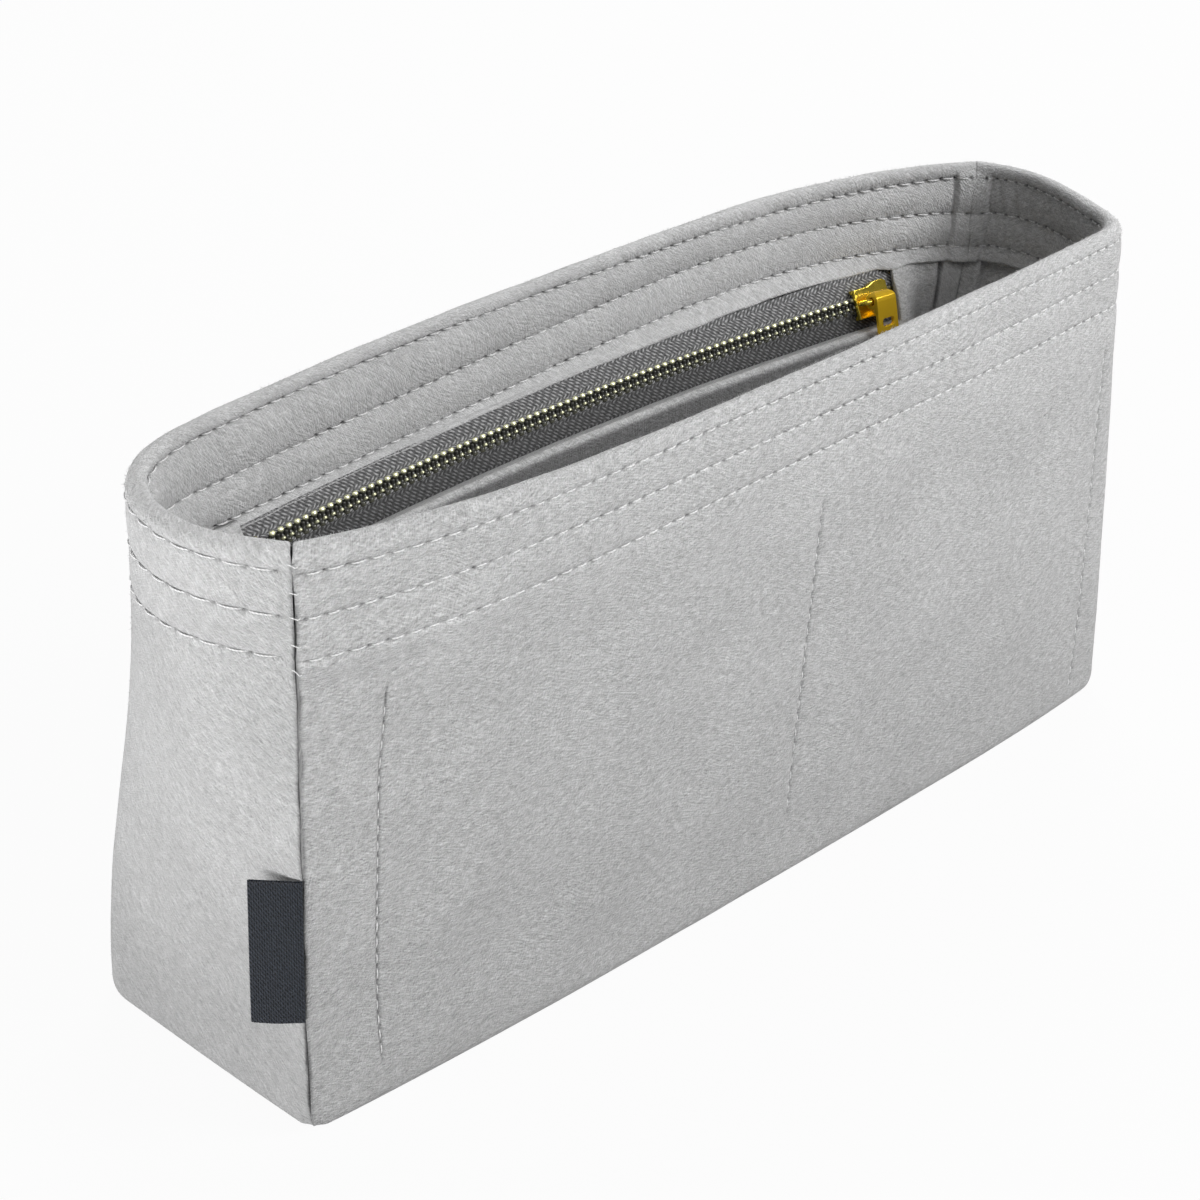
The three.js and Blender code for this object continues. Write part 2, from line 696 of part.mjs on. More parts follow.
// Stops: a staple on each tape past the closed end, and a box across both rows at the open end
function stopGeometry(from, to, length) {
  const half = TOOTH_THICKNESS / 2;
  const corner = half / 3;
  const outline = roundedRectangle(from, to, -half, half, corner, 2);
  const stop = extrude(outline, length);
  const toFrame = new THREE.Matrix4().makeBasis(
    new THREE.Vector3(0, 1, 0),
    new THREE.Vector3(0, 0, 1),
    new THREE.Vector3(1, 0, 0),
  );
  return stop.applyMatrix4(toFrame);
}

function addStop(name, from, to, length, turn) {
  const stop = addPiece(name, stopGeometry(from, to, length), BRASS_LOOK);
  stop.applyMatrix4(zipFrame(turn));
}

const topStopTurn = windowRightTurn + (STOP_LENGTH + GAP) * turnPerLength;
addStop('upper_top_stop', TOOTH_REACH - STOP_WIDTH, TOOTH_REACH, STOP_LENGTH, topStopTurn);
addStop('lower_top_stop', -TOOTH_REACH, STOP_WIDTH - TOOTH_REACH, STOP_LENGTH, topStopTurn);
addStop('bottom_stop', -TOOTH_REACH, TOOTH_REACH, BOTTOM_STOP_LENGTH, windowLeftTurn - GAP * turnPerLength);

// Slider: two wings joined by a diamond, with flanges that hold the teeth and a slot for the tapes
const wingInner = TOOTH_THICKNESS / 2 + RUNNING_GAP;
const wingOuter = wingInner + WING_THICKNESS;
const slotHalf = TAPE_THICKNESS / 2 + RUNNING_GAP;
const neckHalf = TOOTH_REACH + RUNNING_GAP + FLANGE_WIDTH;

const slider = new THREE.Group();
slider.applyMatrix4(zipFrame(sliderTurn));
organizer.add(slider);

function sliderEdge() {
  return [
    new THREE.Vector2(-SLIDER_REAR, neckHalf),
    new THREE.Vector2(-SLIDER_NECK, neckHalf),
    new THREE.Vector2(SLIDER_SHOULDER, SLIDER_SHOULDER_HALF),
    new THREE.Vector2(SLIDER_FRONT - SLIDER_SHOULDER, SLIDER_SHOULDER_HALF),
    new THREE.Vector2(SLIDER_FRONT, SLIDER_NOSE_HALF),
  ];
}

function mirrored(points) {
  return points.map((p) => new THREE.Vector2(p.x, -p.y)).toReversed();
}

function sliderGeometry() {
  const edge = sliderEdge();
  const wing = extrude([...edge, ...mirrored(edge)], WING_THICKNESS);
  const rim = edge.slice(0, 4);
  const inside = rim.map((p) => new THREE.Vector2(p.x, p.y - FLANGE_WIDTH)).toReversed();
  const strip = [...rim, ...inside];
  const sink = WING_THICKNESS / 2;
  const flangeDepth = wingInner - slotHalf + sink;
  const flange = extrude(strip, flangeDepth);
  const otherFlange = extrude(mirrored(strip), flangeDepth);
  const diamondMiddle = DIAMOND_START + DIAMOND_LENGTH / 2;
  const diamond = extrude([
    new THREE.Vector2(DIAMOND_START, 0),
    new THREE.Vector2(diamondMiddle, DIAMOND_HALF),
    new THREE.Vector2(DIAMOND_START + DIAMOND_LENGTH, 0),
    new THREE.Vector2(diamondMiddle, -DIAMOND_HALF),
  ], 2 * (wingInner + sink));
  const lift = (geometry, z) => geometry.clone().translate(0, 0, z);
  return fromSolid(joinSolids([
    lift(wing, wingInner),
    lift(wing, -wingOuter),
    lift(diamond, -wingInner - sink),
    lift(flange, slotHalf),
    lift(otherFlange, slotHalf),
    lift(flange, -wingInner - sink),
    lift(otherFlange, -wingInner - sink),
  ]));
}

addPiece('slider_body', sliderGeometry(), GOLD_LOOK, slider);

// Bail: a round staple along the slider, under which the pull is curled
const bailHeight = wingOuter + GAP + BAIL_RISE;
const bailFrom = BAIL_START - RUNNING_GAP - BAIL_BEND;
const bailTo = BAIL_START + PULL_WIDTH + RUNNING_GAP + BAIL_BEND;

function bailGeometry() {
  const foot = wingOuter + GAP;
  const bend = BAIL_BEND;
  const rise = bailHeight - bend;
  const path = [
    [bailFrom, foot],
    [bailFrom, rise],
    ...arcPoints(bailFrom + bend, rise, bend, Math.PI, Math.PI / 2, 3).slice(1).map((p) => [p.x, p.y]),
    ...arcPoints(bailTo - bend, rise, bend, Math.PI / 2, 0, 3).map((p) => [p.x, p.y]),
    [bailTo, foot],
  ].map(([x, z]) => new THREE.Vector3(x, 0, z));
  const across = new THREE.Vector3(0, 1, 0);
  const sections = path.map((point, i) => {
    const ahead = path[Math.min(i + 1, path.length - 1)];
    const behind = path[Math.max(i - 1, 0)];
    const along = ahead.clone().sub(behind).normalize();
    const side = new THREE.Vector3().crossVectors(across, along);
    return arcPoints(0, 0, BAIL_RADIUS, 0, 2 * Math.PI, 8).slice(1).map((p) => {
      return point.clone().addScaledVector(across, p.x).addScaledVector(side, p.y);
    });
  });
  return loft(sections);
}

addPiece('slider_bail', bailGeometry(), GOLD_LOOK, slider);

// Pull: a stamped plate curled round the bail, hanging nearly upright in front of the zip
const knuckleInner = BAIL_RADIUS + RUNNING_GAP;
const knuckleOuter = knuckleInner + PULL_THICKNESS;

function pullGeometry() {
  const innerFace = -knuckleInner;
  const turnOn = -Math.acos(innerFace / knuckleOuter);
  const profile = [
    new THREE.Vector2(-knuckleOuter, -PULL_LENGTH),
    new THREE.Vector2(innerFace, -PULL_LENGTH),
    ...arcPoints(0, 0, knuckleOuter, turnOn, Math.PI, 12),
  ];
  const bore = arcPoints(0, 0, knuckleInner, 0, 2 * Math.PI, 10).slice(1);
  const curled = extrude(profile, PULL_WIDTH, [bore]);
  curled.applyMatrix4(new THREE.Matrix4().makeBasis(
    new THREE.Vector3(0, 1, 0),
    new THREE.Vector3(0, 0, 1),
    new THREE.Vector3(1, 0, 0),
  ));
  const depth = 4 * knuckleOuter;
  const throughPlate = (outline) => {
    const prism = extrude(outline, depth);
    prism.translate(0, 0, -depth / 2);
    return toSolid(prism.rotateX(Math.PI / 2));
  };
  const face = throughPlate(roundedRectangle(0, PULL_WIDTH, -PULL_LENGTH, knuckleOuter, PULL_CORNER, 4));
  const slotLeft = (PULL_WIDTH - PULL_SLOT_LENGTH) / 2;
  const slotBottom = -PULL_SLOT_DROP - PULL_SLOT_WIDTH / 2;
  const slotRadius = PULL_SLOT_WIDTH / 4;
  const slot = throughPlate(roundedRectangle(
    slotLeft,
    slotLeft + PULL_SLOT_LENGTH,
    slotBottom,
    slotBottom + PULL_SLOT_WIDTH,
    slotRadius,
    2,
  ));
  return fromSolid(toSolid(curled).intersect(face).subtract(slot));
}

function pullFrame() {
  const place = zipFrame(sliderTurn);
  const pivot = new THREE.Vector3(BAIL_START, 0, bailHeight).applyMatrix4(place);
  const along = new THREE.Vector3().setFromMatrixColumn(place, 0);
  const toBack = new THREE.Vector3().crossVectors(new THREE.Vector3(0, 0, 1), along);
  const up = new THREE.Vector3(0, 0, Math.cos(PULL_LEAN)).addScaledVector(toBack, Math.sin(PULL_LEAN));
  const through = new THREE.Vector3().crossVectors(up, along);
  return new THREE.Matrix4().makeBasis(along, through, up).setPosition(pivot);
}

const pull = addPiece('pull_tab', pullGeometry(), GOLD_LOOK);
pull.applyMatrix4(pullFrame());

// Label: a woven strip folded into a flat loop, standing out of the front left seam
function labelSection(z) {
  const share = rimShare(z);
  const seam = cornerAt('frontLeft', share);
  const out = insetDirection(FRONT_WRAP, 0, z).normalize().negate();
  const leave = new THREE.Vector2(out.x, -out.y);
  const side = inwardNormal(leave);
  const half = LABEL_LAYER + LABEL_LOOP / 2;
  const inner = LABEL_LOOP / 2;
  const fold = LABEL_WIDTH - half;
  const outline = [
    [0, -half],
    [fold, -half],
    [fold + half * Math.SQRT1_2, -half * Math.SQRT1_2],
    [LABEL_WIDTH, 0],
    [fold + half * Math.SQRT1_2, half * Math.SQRT1_2],
    [fold, half],
    [0, half],
    [0, inner],
    [fold, inner],
    [fold, -inner],
    [0, -inner],
  ];
  return outline.map(([along, across]) => {
    const plan = seam.clone().addScaledVector(out, LABEL_SEAT);
    plan.addScaledVector(leave, along).addScaledVector(side, across);
    return new THREE.Vector3(plan.x, plan.y, z);
  });
}

const labelHeights = evenly(LABEL_BOTTOM, LABEL_BOTTOM + LABEL_HEIGHT, 3);
addPiece('label_tab', loft(labelHeights.map(labelSection)), LABEL_LOOK);

export default organizer;
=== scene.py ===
from math import cos, pi, radians, sin
from types import SimpleNamespace

import bmesh
import bpy
import numpy as np
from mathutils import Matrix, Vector
from mathutils.geometry import tessellate_polygon


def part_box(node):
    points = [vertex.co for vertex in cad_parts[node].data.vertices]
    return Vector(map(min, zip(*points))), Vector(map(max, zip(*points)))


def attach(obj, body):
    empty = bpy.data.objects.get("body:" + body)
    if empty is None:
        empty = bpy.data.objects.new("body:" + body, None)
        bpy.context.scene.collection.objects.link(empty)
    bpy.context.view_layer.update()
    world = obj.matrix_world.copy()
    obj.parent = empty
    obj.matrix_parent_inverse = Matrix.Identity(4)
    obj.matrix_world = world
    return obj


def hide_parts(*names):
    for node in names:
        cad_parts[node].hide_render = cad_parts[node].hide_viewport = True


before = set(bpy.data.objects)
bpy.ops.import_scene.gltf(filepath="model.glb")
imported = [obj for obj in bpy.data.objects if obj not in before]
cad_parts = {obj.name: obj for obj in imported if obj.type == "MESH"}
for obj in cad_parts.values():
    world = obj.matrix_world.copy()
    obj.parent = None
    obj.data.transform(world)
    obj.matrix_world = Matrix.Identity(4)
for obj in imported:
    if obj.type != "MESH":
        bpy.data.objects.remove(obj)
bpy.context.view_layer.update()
scene = bpy.context.scene
join = np.concatenate
seeded = np.random.default_rng

MM = 0.001

# Sizes in millimetres, the same as the solids'
FELT = 2.2
HEIGHT = 100.6
WRAP_LENGTH = 269.0
BASE_BOWS = (2.7, 0.2)
BASE_FOLD_REACH = 7.0
RIM_FOLD_REACH = 9.3
BOW_POWERS = (3.5, 2.2)
HEM_INSET = 2 * FELT
PANEL_SEAT = FELT + 0.3
PANEL_BOTTOM = 6.3
BOTTOM_ROUND = (1.5, 3.4)
SEAM_START = 0.2
CORNERS = {
    "front_left": ((-106.0, -28.5), (4.5, 2.1)),
    "front_right": ((106.0, -28.5), (-2.3, 0.6)),
    "back_right": ((106.0, 28.5), (8.2, -9.6)),
    "back_left": ((-106.0, 28.5), (12.8, -7.3)),
}
FRONT = SimpleNamespace(corners=("front_left", "front_right", "back_right"), bows=(7.6, 4.8), skews=(-0.66, 0.86))
BACK = SimpleNamespace(corners=("back_right", "back_left", "front_left"), bows=(12.9, 11.3), skews=(-0.54, 0.0))

# The zip lies on a cone about an upright axis
ZIP_CENTRE = np.array([19.920353, -621.834773])
ZIP_RADIUS = 647.389905
ZIP_HEIGHT = 76.1
TILT_SIN, TILT_COS = sin(radians(25)), cos(radians(25))
WINDOW_TURNS = (1.459202, 1.721374)
WINDOW_ENDS = (20.9, 197.0)
WINDOW_DEPTH = 6.0
CHAIN_START = 1.469088
TOOTH_PITCH = 2.0
HERRINGBONE = (1.02, 4.7, 2.7)
TOOTH_COUNT = 79
PANEL_ENDS = (7.0, 208.0)
SILL = 72.1
POCKET_LINES = (13.7, 113.0, 205.5)
POCKET_TOP = 75.4
POCKET_SLACK = 9.6

# Sewing
STITCH = 3.3
END_STITCH = 5.0
LINE_STITCH = 2.9
LADDER_STITCH = 4.4
THREAD_RADIUS = 0.14
THREAD_SIDES = 6

# Steps of the meshes beside a sewn row, at the hem's round edge and in from a cut edge
ROW_REACH = 1.3
EDGE_ROUND = 0.7
CUT_STEPS = np.array([0, 0.15, 0.3, 0.55, 0.9])


def ramp(x, low, high):
    return np.clip((x - low) / (high - low), 0, 1)


def smooth(x, low, high):
    t = ramp(x, low, high)
    return t * t * (3 - 2 * t)


def fall(x, low, high):
    return 1 - smooth(x, low, high)


def mix(a, b, t):
    return a + (b - a) * t


def bilinear(pick, f, g):
    return mix(mix(pick(0, 0), pick(1, 0), f), mix(pick(0, 1), pick(1, 1), f), g)


def bump(x, width):
    return np.exp(-((x / width) ** 2))


def rounded(x, radius):
    """From 0 to 1 on a quarter circle."""
    return np.sqrt(1 - (1 - ramp(x, 0, radius)) ** 2)


def floats(*values):
    """The values as arrays of one shape."""
    return np.broadcast_arrays(*(np.asarray(v, float) for v in values))


def stacked(*values):
    return np.stack(floats(*values), -1)


def unit(v):
    return v / np.linalg.norm(v, axis=-1, keepdims=True)


def run_along(path):
    """Distance along a path at each of its points."""
    return join([[0], np.cumsum(np.linalg.norm(np.diff(path, axis=0), axis=1))])


def circle(count):
    return np.linspace(0, 2 * pi, count, endpoint=False)


def ringed(angle, side, other):
    """A unit circle for each pair of directions across a thread."""
    return np.cos(angle)[:, None] * side[:, None] + np.sin(angle)[:, None] * other[:, None]


def ripple(u, v, size, seed):
    """Smooth uneven field, from -1 to 1, that varies over about size millimetres."""
    cells = 97
    lattice = seeded(seed).uniform(-1, 1, (cells, cells))
    x, y = [w / size for w in floats(u, v)]
    i, j = np.floor(x).astype(int), np.floor(y).astype(int)
    f, g = smooth(x - i, 0, 1), smooth(y - j, 0, 1)
    return bilinear(lambda a, b: lattice[(i + a) % cells, (j + b) % cells], f, g)


# Walls

LEVELS = np.linspace(0, HEIGHT, 104)
STEPS = np.linspace(0, WRAP_LENGTH, 1077)


def bowed(start, end, bow, skew, power, t):
    run = end - start
    s = 2 * t - 1
    swell = bow * (1 - np.abs(s) ** power) * (1 + skew * s)
    return start + np.outer(t, run) + np.outer(swell, (run[1], -run[0]) / np.hypot(*run))


def cross(a, b):
    return a[0] * b[1] - a[1] * b[0]


def outline(wrap, z):
    """A wrap's outline in plan at one height: long side, rounded fold, short end."""
    share = float(smooth(z, 0, HEIGHT))
    start, fold, end = [place + lean * share for place, lean in (np.array(CORNERS[c]) for c in wrap.corners)]
    bows = [mix(low, high, share) for low, high in zip(BASE_BOWS, wrap.bows)]
    skews = [skew * share for skew in wrap.skews]
    reach = mix(BASE_FOLD_REACH, RIM_FOLD_REACH, share)
    cut = 1 - reach / np.hypot(*(fold - start))
    resume = reach / np.hypot(*(end - fold))
    side = lambda t: bowed(start, fold, bows[0], skews[0], BOW_POWERS[0], t)
    short = lambda t: bowed(fold, end, bows[1], skews[1], BOW_POWERS[1], t)
    step = 1e-4
    before = side(np.array([cut - step, cut]))
    after = short(np.array([resume, resume + step]))
    along, other = before[1] - before[0], after[1] - after[0]
    middle = before[1] + along * cross(after[0] - before[1], other) / cross(along, other)
    t = np.linspace(0, 1, 160)[:, None]
    corner = (1 - t) ** 2 * before[1] + 2 * t * (1 - t) * middle + t * t * after[0]
    return join([side(np.linspace(0, cut, 700)), corner[1:], short(np.linspace(resume, 1, 260))[1:]])


def make_table(wrap):
    """Place and inward normal of the outer face on a grid of heights and distances."""
    wrap.table = np.zeros((len(LEVELS), len(STEPS), 4))
    for row, z in zip(wrap.table, LEVELS):
        line = outline(wrap, z)
        run = run_along(line)
        along = np.gradient(line, run, axis=0)
        at = STEPS / WRAP_LENGTH * run[-1]
        x, y, tx, ty = [np.interp(at, run, v) for v in (*line.T, *along.T)]
        size = np.hypot(tx, ty)
        row[:] = stacked(x, y, -ty / size, tx / size)


for wrap in (FRONT, BACK):
    make_table(wrap)
for wrap, other in ((FRONT, BACK), (BACK, FRONT)):
    own = wrap.table[:, (0, -1), 2:]
    facing = other.table[:, (-1, 0), 2:]
    turn = (own * facing).sum(-1)
    wrap.mitres = np.sqrt((1 - turn) / (1 + turn)).T


def wall(wrap, d, z):
    """Places on the outer face in plan and their inward normals."""
    d, z = floats(d, z)
    x = np.clip(d / STEPS[1], 0, len(STEPS) - 1.001)
    y = np.clip(z / LEVELS[1], 0, len(LEVELS) - 1.001)
    i, j = x.astype(int), y.astype(int)
    f, g = (x - i)[..., None], (y - j)[..., None]
    value = bilinear(lambda a, b: wrap.table[j + b, i + a], f, g)
    return value[..., :2], unit(value[..., 2:])


def felt_point(wrap, d, z, inset):
    """Points set in from a wrap's outer face, mitred near the two sewn corners."""
    d, z, inset = floats(d, z, inset)
    reach = 10.0
    near, far = [np.clip(1 - gap / reach, 0, 1) * np.interp(z, LEVELS, mitre)
                 for gap, mitre in zip((d, WRAP_LENGTH - d), wrap.mitres)]
    place, normal = wall(wrap, d + inset * (near - far), z)
    return join([place + normal * inset[..., None], z[..., None]], -1), normal


def face_point(wrap, d, z, inset, up, inward):
    """The same, with the direction out of the felt's face instead of the normal."""
    point, normal = felt_point(wrap, d, z, inset)
    up, inward, _ = floats(up, inward, normal[:, 0])
    return point, np.column_stack([normal * inward[:, None], up])


def seam_out(before, after, z):
    """Direction in plan out of the seam where one wrap's end meets the next wrap's start."""
    return -unit(wall(after, 0, z)[1] + wall(before, WRAP_LENGTH, z)[1])


# Meshes

def add_object(name, data):
    made = bpy.data.objects.new(name, data)
    scene.collection.objects.link(made)
    return made


def make_piece(name, points, faces, fabric=None, shade=None):
    """A mesh object from points in millimetres.

    fabric gives each point's place on its cloth, and shade how dark it is painted: painted shade in a needle hole
    or seam groove, low on a wall, under the hem and the zip, and on the teeth away from their painted highlights.
    """
    mesh = bpy.data.meshes.new(name)
    mesh.from_pydata(np.asarray(points) * MM, [], [face for f in faces for face in f.tolist()], shade_flat=False)
    for key, kind, field, values in (
        ("fabric", "FLOAT_VECTOR", "vector", fabric),
        ("shade", "FLOAT", "value", shade),
    ):
        if values is not None:
            store = mesh.attributes.new(key, kind, "POINT")
            store.data.foreach_set(field, np.asarray(values, np.float32).ravel())
    mesh.validate()
    shape = bmesh.new()
    shape.from_mesh(mesh)
    bmesh.ops.recalc_face_normals(shape, faces=shape.faces)
    shape.to_mesh(mesh)
    shape.free()
    return add_object(name, mesh)


def numbered(grid):
    """Numbers for the points of grid[row, column, xyz]."""
    return np.arange(grid.size // 3).reshape(grid.shape[:2])


def quads(index):
    """Quads over a grid of point numbers."""
    return np.stack([index[:-1, :-1], index[1:, :-1], index[1:, 1:], index[:-1, 1:]], -1).reshape(-1, 4)


def closed(index):
    """Quads round closed rings of point numbers."""
    return quads(join([index, index[:, :1]], 1))


def tube_faces(index):
    """The same with the first and the last ring filled."""
    caps = [[ring[0], *ring[i:i + 3]] for ring in (index[0], index[-1]) for i in range(1, len(ring) - 2, 2)]
    return join([closed(index), caps])


def swept(name, rings, fabric, shade=None):
    """Closed solid through rings[section, point, xyz], closed round each ring and capped."""
    index = numbered(rings)
    caps = []
    for ring, numbers in ((rings[0], index[0]), (rings[-1], index[-1])):
        middle = ring.mean(0)
        flat = np.linalg.svd(ring - middle)[2][:2]
        outline_points = [Vector((*(flat @ (p - middle)), 0)) for p in ring]
        caps += [[numbers[k] for k in face] for face in tessellate_polygon([outline_points])]
    faces = [closed(index), np.array(caps)]
    return make_piece(name, rings.reshape(-1, 3), faces, fabric.reshape(-1, 3), shade)


def thick_sheet(name, front, back, fabric, keep=None, shade=None):
    """Closed sheet between two grids of points, on the cells that keep marks."""
    across, up = front.shape[:2]
    keep = np.ones((across - 1, up - 1), bool) if keep is None else keep
    size = across * up
    cells = quads(numbered(front)).reshape(across - 1, up - 1, 4)
    lists = [cells[keep], cells[keep][:, ::-1] + size]
    framed = np.pad(keep, 1)
    rim = []
    for (di, dj), (a, b) in {(-1, 0): (3, 0), (1, 0): (1, 2), (0, -1): (0, 1), (0, 1): (2, 3)}.items():
        open_side = keep & ~framed[1 + di:across + di, 1 + dj:up + dj]
        rim.append(cells[open_side][:, [a, b]])
    first, second = join(rim).T
    every = join([*lists, np.column_stack([second, first, first + size, second + size])])
    used, numbers = np.unique(every, return_inverse=True)
    points, cloth = [join([a, b]).reshape(-1, 3)[used] for a, b in ((front, back), (fabric, fabric + (0, 0, 40)))]
    if shade is not None:
        shade = np.tile(shade.ravel(), 2)[used]
    return make_piece(name, points, [numbers.reshape(every.shape)], cloth, shade)


def turned(u, v, angle, layer):
    """Cloth coordinates turned so that the first runs along the fibres."""
    c, s = cos(radians(angle)), sin(radians(angle))
    return stacked(u * c + v * s, v * c - u * s, layer)


# Stitched rows round the rim, as heights along each wrap

def row_curve(*keys):
    """A smooth curve through keys that give a distance and a height by turns."""
    fit = np.polyfit(np.array(keys[::2]) / WRAP_LENGTH, keys[1::2], 5)
    return lambda d: np.polyval(fit, d / WRAP_LENGTH)


FRONT.rows = [
    row_curve(0, 96.2, 10, 96.3, 25, 97.1, 45, 97.8, 80, 98.2, 118, 98.4, 160, 98.3, 212, 98.4, 240, 98.2, 269, 98.0),
    row_curve(0, 89.1, 10, 89.3, 20, 89.9, 35, 90.9, 50, 91.4, 66, 91.8, 97, 91.9, 122, 91.7, 152, 92.0, 212, 92.1,
              240, 91.5, 269, 90.4),
    row_curve(0, 82.4, 10, 82.3, 24, 83.0, 36, 83.7, 60, 84.6, 93, 85.1, 113, 85.5, 136, 85.5, 160, 85.3, 212, 85.4,
              240, 84.6, 269, 83.4),
]
BACK.rows = [
    row_curve(0, 98.0, 20, 97.8, 45, 97.4, 62, 97.5, 90, 98.0, 112, 98.3, 156, 98.5, 205, 98.3, 240, 97.8, 263, 97.2,
              269, 96.5),
    row_curve(0, 90.4, 30, 91.3, 60, 92.0, 90, 91.9, 102, 91.5, 130, 90.4, 156, 89.3, 180, 89.0, 195, 89.1, 225, 89.7,
              250, 90.1, 269, 89.5),
    row_curve(0, 83.4, 15, 83.8, 45, 84.6, 75, 84.5, 102, 83.6, 126, 82.6, 151, 81.6, 184, 81.0, 212, 81.6, 240, 82.8,
              269, 82.9),
]
FRONT.hem = row_curve(0, 79.6, 60, 80.6, 100, 81.3, 140, 81.6, 180, 82.0, 212, 82.0, 240, 81.5, 269, 80.3)
BACK.hem = row_curve(0, 80.3, 21, 81.0, 45, 81.3, 66, 81.2, 86, 80.9, 96, 80.6, 110, 80.4, 126, 80.3, 150, 80.1,
                     170, 79.9, 190, 79.8, 215, 79.7, 240, 79.8, 269, 79.7)
FIRST_HOLE, LAST_HOLE = 1.7, WRAP_LENGTH - 0.8
FRONT.holes = np.arange(FIRST_HOLE, LAST_HOLE, STITCH)
WALL_END, END_HOLE = 208, 211.4
BACK.holes = join([np.arange(FIRST_HOLE, WALL_END, STITCH), np.arange(END_HOLE, LAST_HOLE, END_STITCH)])
PHASE_FOOT = 77.0
ROW_PHASES = (0.9, -0.7, 0.4)

# The upright pocket lines: how each leans, its foot and its top
POCKET_SEAMS = (
    (lambda z: 13.7 + 1.2 * smooth(z, 58, 76) + 0.8 * fall(z, 6, 20), 8.5, 75.2),
    (lambda z: mix(110.4, 115.4, (z - 15) / 61), 14.0, 75.6),
    (lambda z: mix(200.4, 209.2, (z - 3) / 73), 3.5, 76.5),
)
RIM_START = HEIGHT - FELT
RIM_TOP = RIM_START + FELT * pi / 2


def end_gap(d):
    return np.minimum(d, WRAP_LENGTH - d)


def zip_radius(v, n):
    """Distance from the zip's axis, v up the cone and n in from it."""
    return ZIP_RADIUS + v * TILT_SIN - n * TILT_COS


def tape_top(z):
    """How far up the cone the upper tape ends under a hem whose edge is at z."""
    return (z + 0.35 - ZIP_HEIGHT) / TILT_COS


def tape_lean(v):
    """The upper tape leans back from the cone under the hem."""
    return -0.3 * np.maximum(v - 3.85, 0)


def tape_front(d, z):
    """How far the face of the upper zip tape stands in from the wall at the hem's edge."""
    v = tape_top(z)
    return inset_to_radius(d, z, zip_radius(v, 0.3 + tape_lean(v)))


def hem_swell(wrap, d, z):
    """How far the hem's face stands proud: its loose lower edge, the corner seams, puckers."""
    edge = wrap.hem(d)
    loose = fall(z, edge, wrap.rows[2](d) - 0.2)
    flare, pucker = 0.4, 0.0
    if wrap is BACK:
        inside = np.clip(d, *WINDOW_ENDS)
        over_tape = np.clip(tape_front(inside, wrap.hem(inside)) + 0.5 - HEM_INSET, 0.85, 2.1)
        over_ear = np.interp(d, (9, 13, 16, 19, 20.8, 22.6, 26), (0.4, 0.6, 1.2, 2.3, 2.6, 1.9, 0.0))
        flare = np.maximum(mix(flare, over_tape, smooth(d, 3, 8) * fall(d, 206, 214)), over_ear)
    else:
        side = WRAP_LENGTH - d
        near = smooth(side, 6.5, 9) * fall(side, 20, 32)
        pucker = 0.28 * near * np.sin(2 * pi * side / 4.9 + 1.3 * ripple(side, z, 8, 91))
        pucker *= smooth(HEIGHT - z, 2.5, 5) * (1 - 0.7 * loose)
    gap = end_gap(d)
    under = smooth(HEIGHT - 1.0 - z, 0, 1.8)
    bridge = 0.7 + 0.22 * np.maximum(4.6 - gap, 0)
    lump = bridge * fall(gap, 4.3, 4.9) - 0.3 * bump(gap - 5.1, 0.4)
    return flare * loose + pucker + lump * under


def rim_profile(h, inside):
    """Height, inset and outward direction on the felt's face, h millimetres up it from the ground."""
    turn = np.clip((h - RIM_START) / FELT, 0, pi / 2)
    z = np.minimum(h, RIM_START) + FELT * np.sin(turn)
    inward = np.cos(turn) if inside else -np.cos(turn)
    return z, FELT * (1 + inward), np.sin(turn), inward


def row_phase(wrap, d, h):
    """Shift of the stitches along the wall, so that the rows aren't in step."""
    heights = [PHASE_FOOT, *[row(d) for row in wrap.rows[::-1]], RIM_TOP]
    shifts = (0.0, *ROW_PHASES[::-1], 0.0)
    total = 0.0
    for low, high, before, after in zip(heights, heights[1:], shifts, shifts[1:]):
        total += (after - before) * ramp(h, low, high)
    return total * smooth(end_gap(d), 3, 12)


def hole_gap(wrap, d):
    after = np.clip(np.searchsorted(wrap.holes, d), 1, len(wrap.holes) - 1)
    return np.minimum(np.abs(d - wrap.holes[after - 1]), np.abs(d - wrap.holes[after]))


def row_relief(wrap, d, h, inside):
    """Depth of the sewn rows' grooves and needle holes, and the painted shade in them."""
    wide, spread, narrow, hole = (0.75, 1.9, 0.2, 0.34) if inside else (0.16, 1.5, 0.14, 0.34)
    near = hole_gap(wrap, d)
    depth, dark = 0.0, 0.0
    for number, row in enumerate(wrap.rows):
        off = h - row(d)
        pull = 1 + 0.35 * ripple(d, 9.0 * number, 4.3, 71)
        depth += wide * pull * bump(off, spread) + narrow * bump(off, 0.36)
        depth += hole * bump(near, 0.36) * bump(off, 0.28)
        # painted shade along each row, darkest at the needle holes and stronger inside
        seen = np.clip(0.62 + 0.5 * ripple(d, 31.0 * number + 7, 6.1, 73), 0.25, 1.0)
        mark = 0.85 * bump(near, 0.55) + 0.25 if inside else 0.6 * bump(near, 0.36) + 0.2
        dark += seen * mark * bump(off, 0.26)
    return depth, dark


def line_relief(d, z):
    """The same for the upright lines that sew the slip pockets to the front wall."""
    depth, dark = 0.0, 0.0
    for lean, low, high in POCKET_SEAMS:
        inside = smooth(z, low - 0.8, low + 0.8) * fall(z, high - 0.8, high + 0.8)
        off = d - lean(z)
        depth += inside * (0.14 * bump(off, 1.3) + 0.4 * bump(off, 0.32))
        # painted shade along each pocket line
        dark += inside * 0.42 * bump(off, 0.24)
    return depth, dark


def edge_roll(d):
    """The felt's cut ends roll into the two corner seams."""
    radius = 0.6
    return radius * (1 - rounded(end_gap(d), radius))


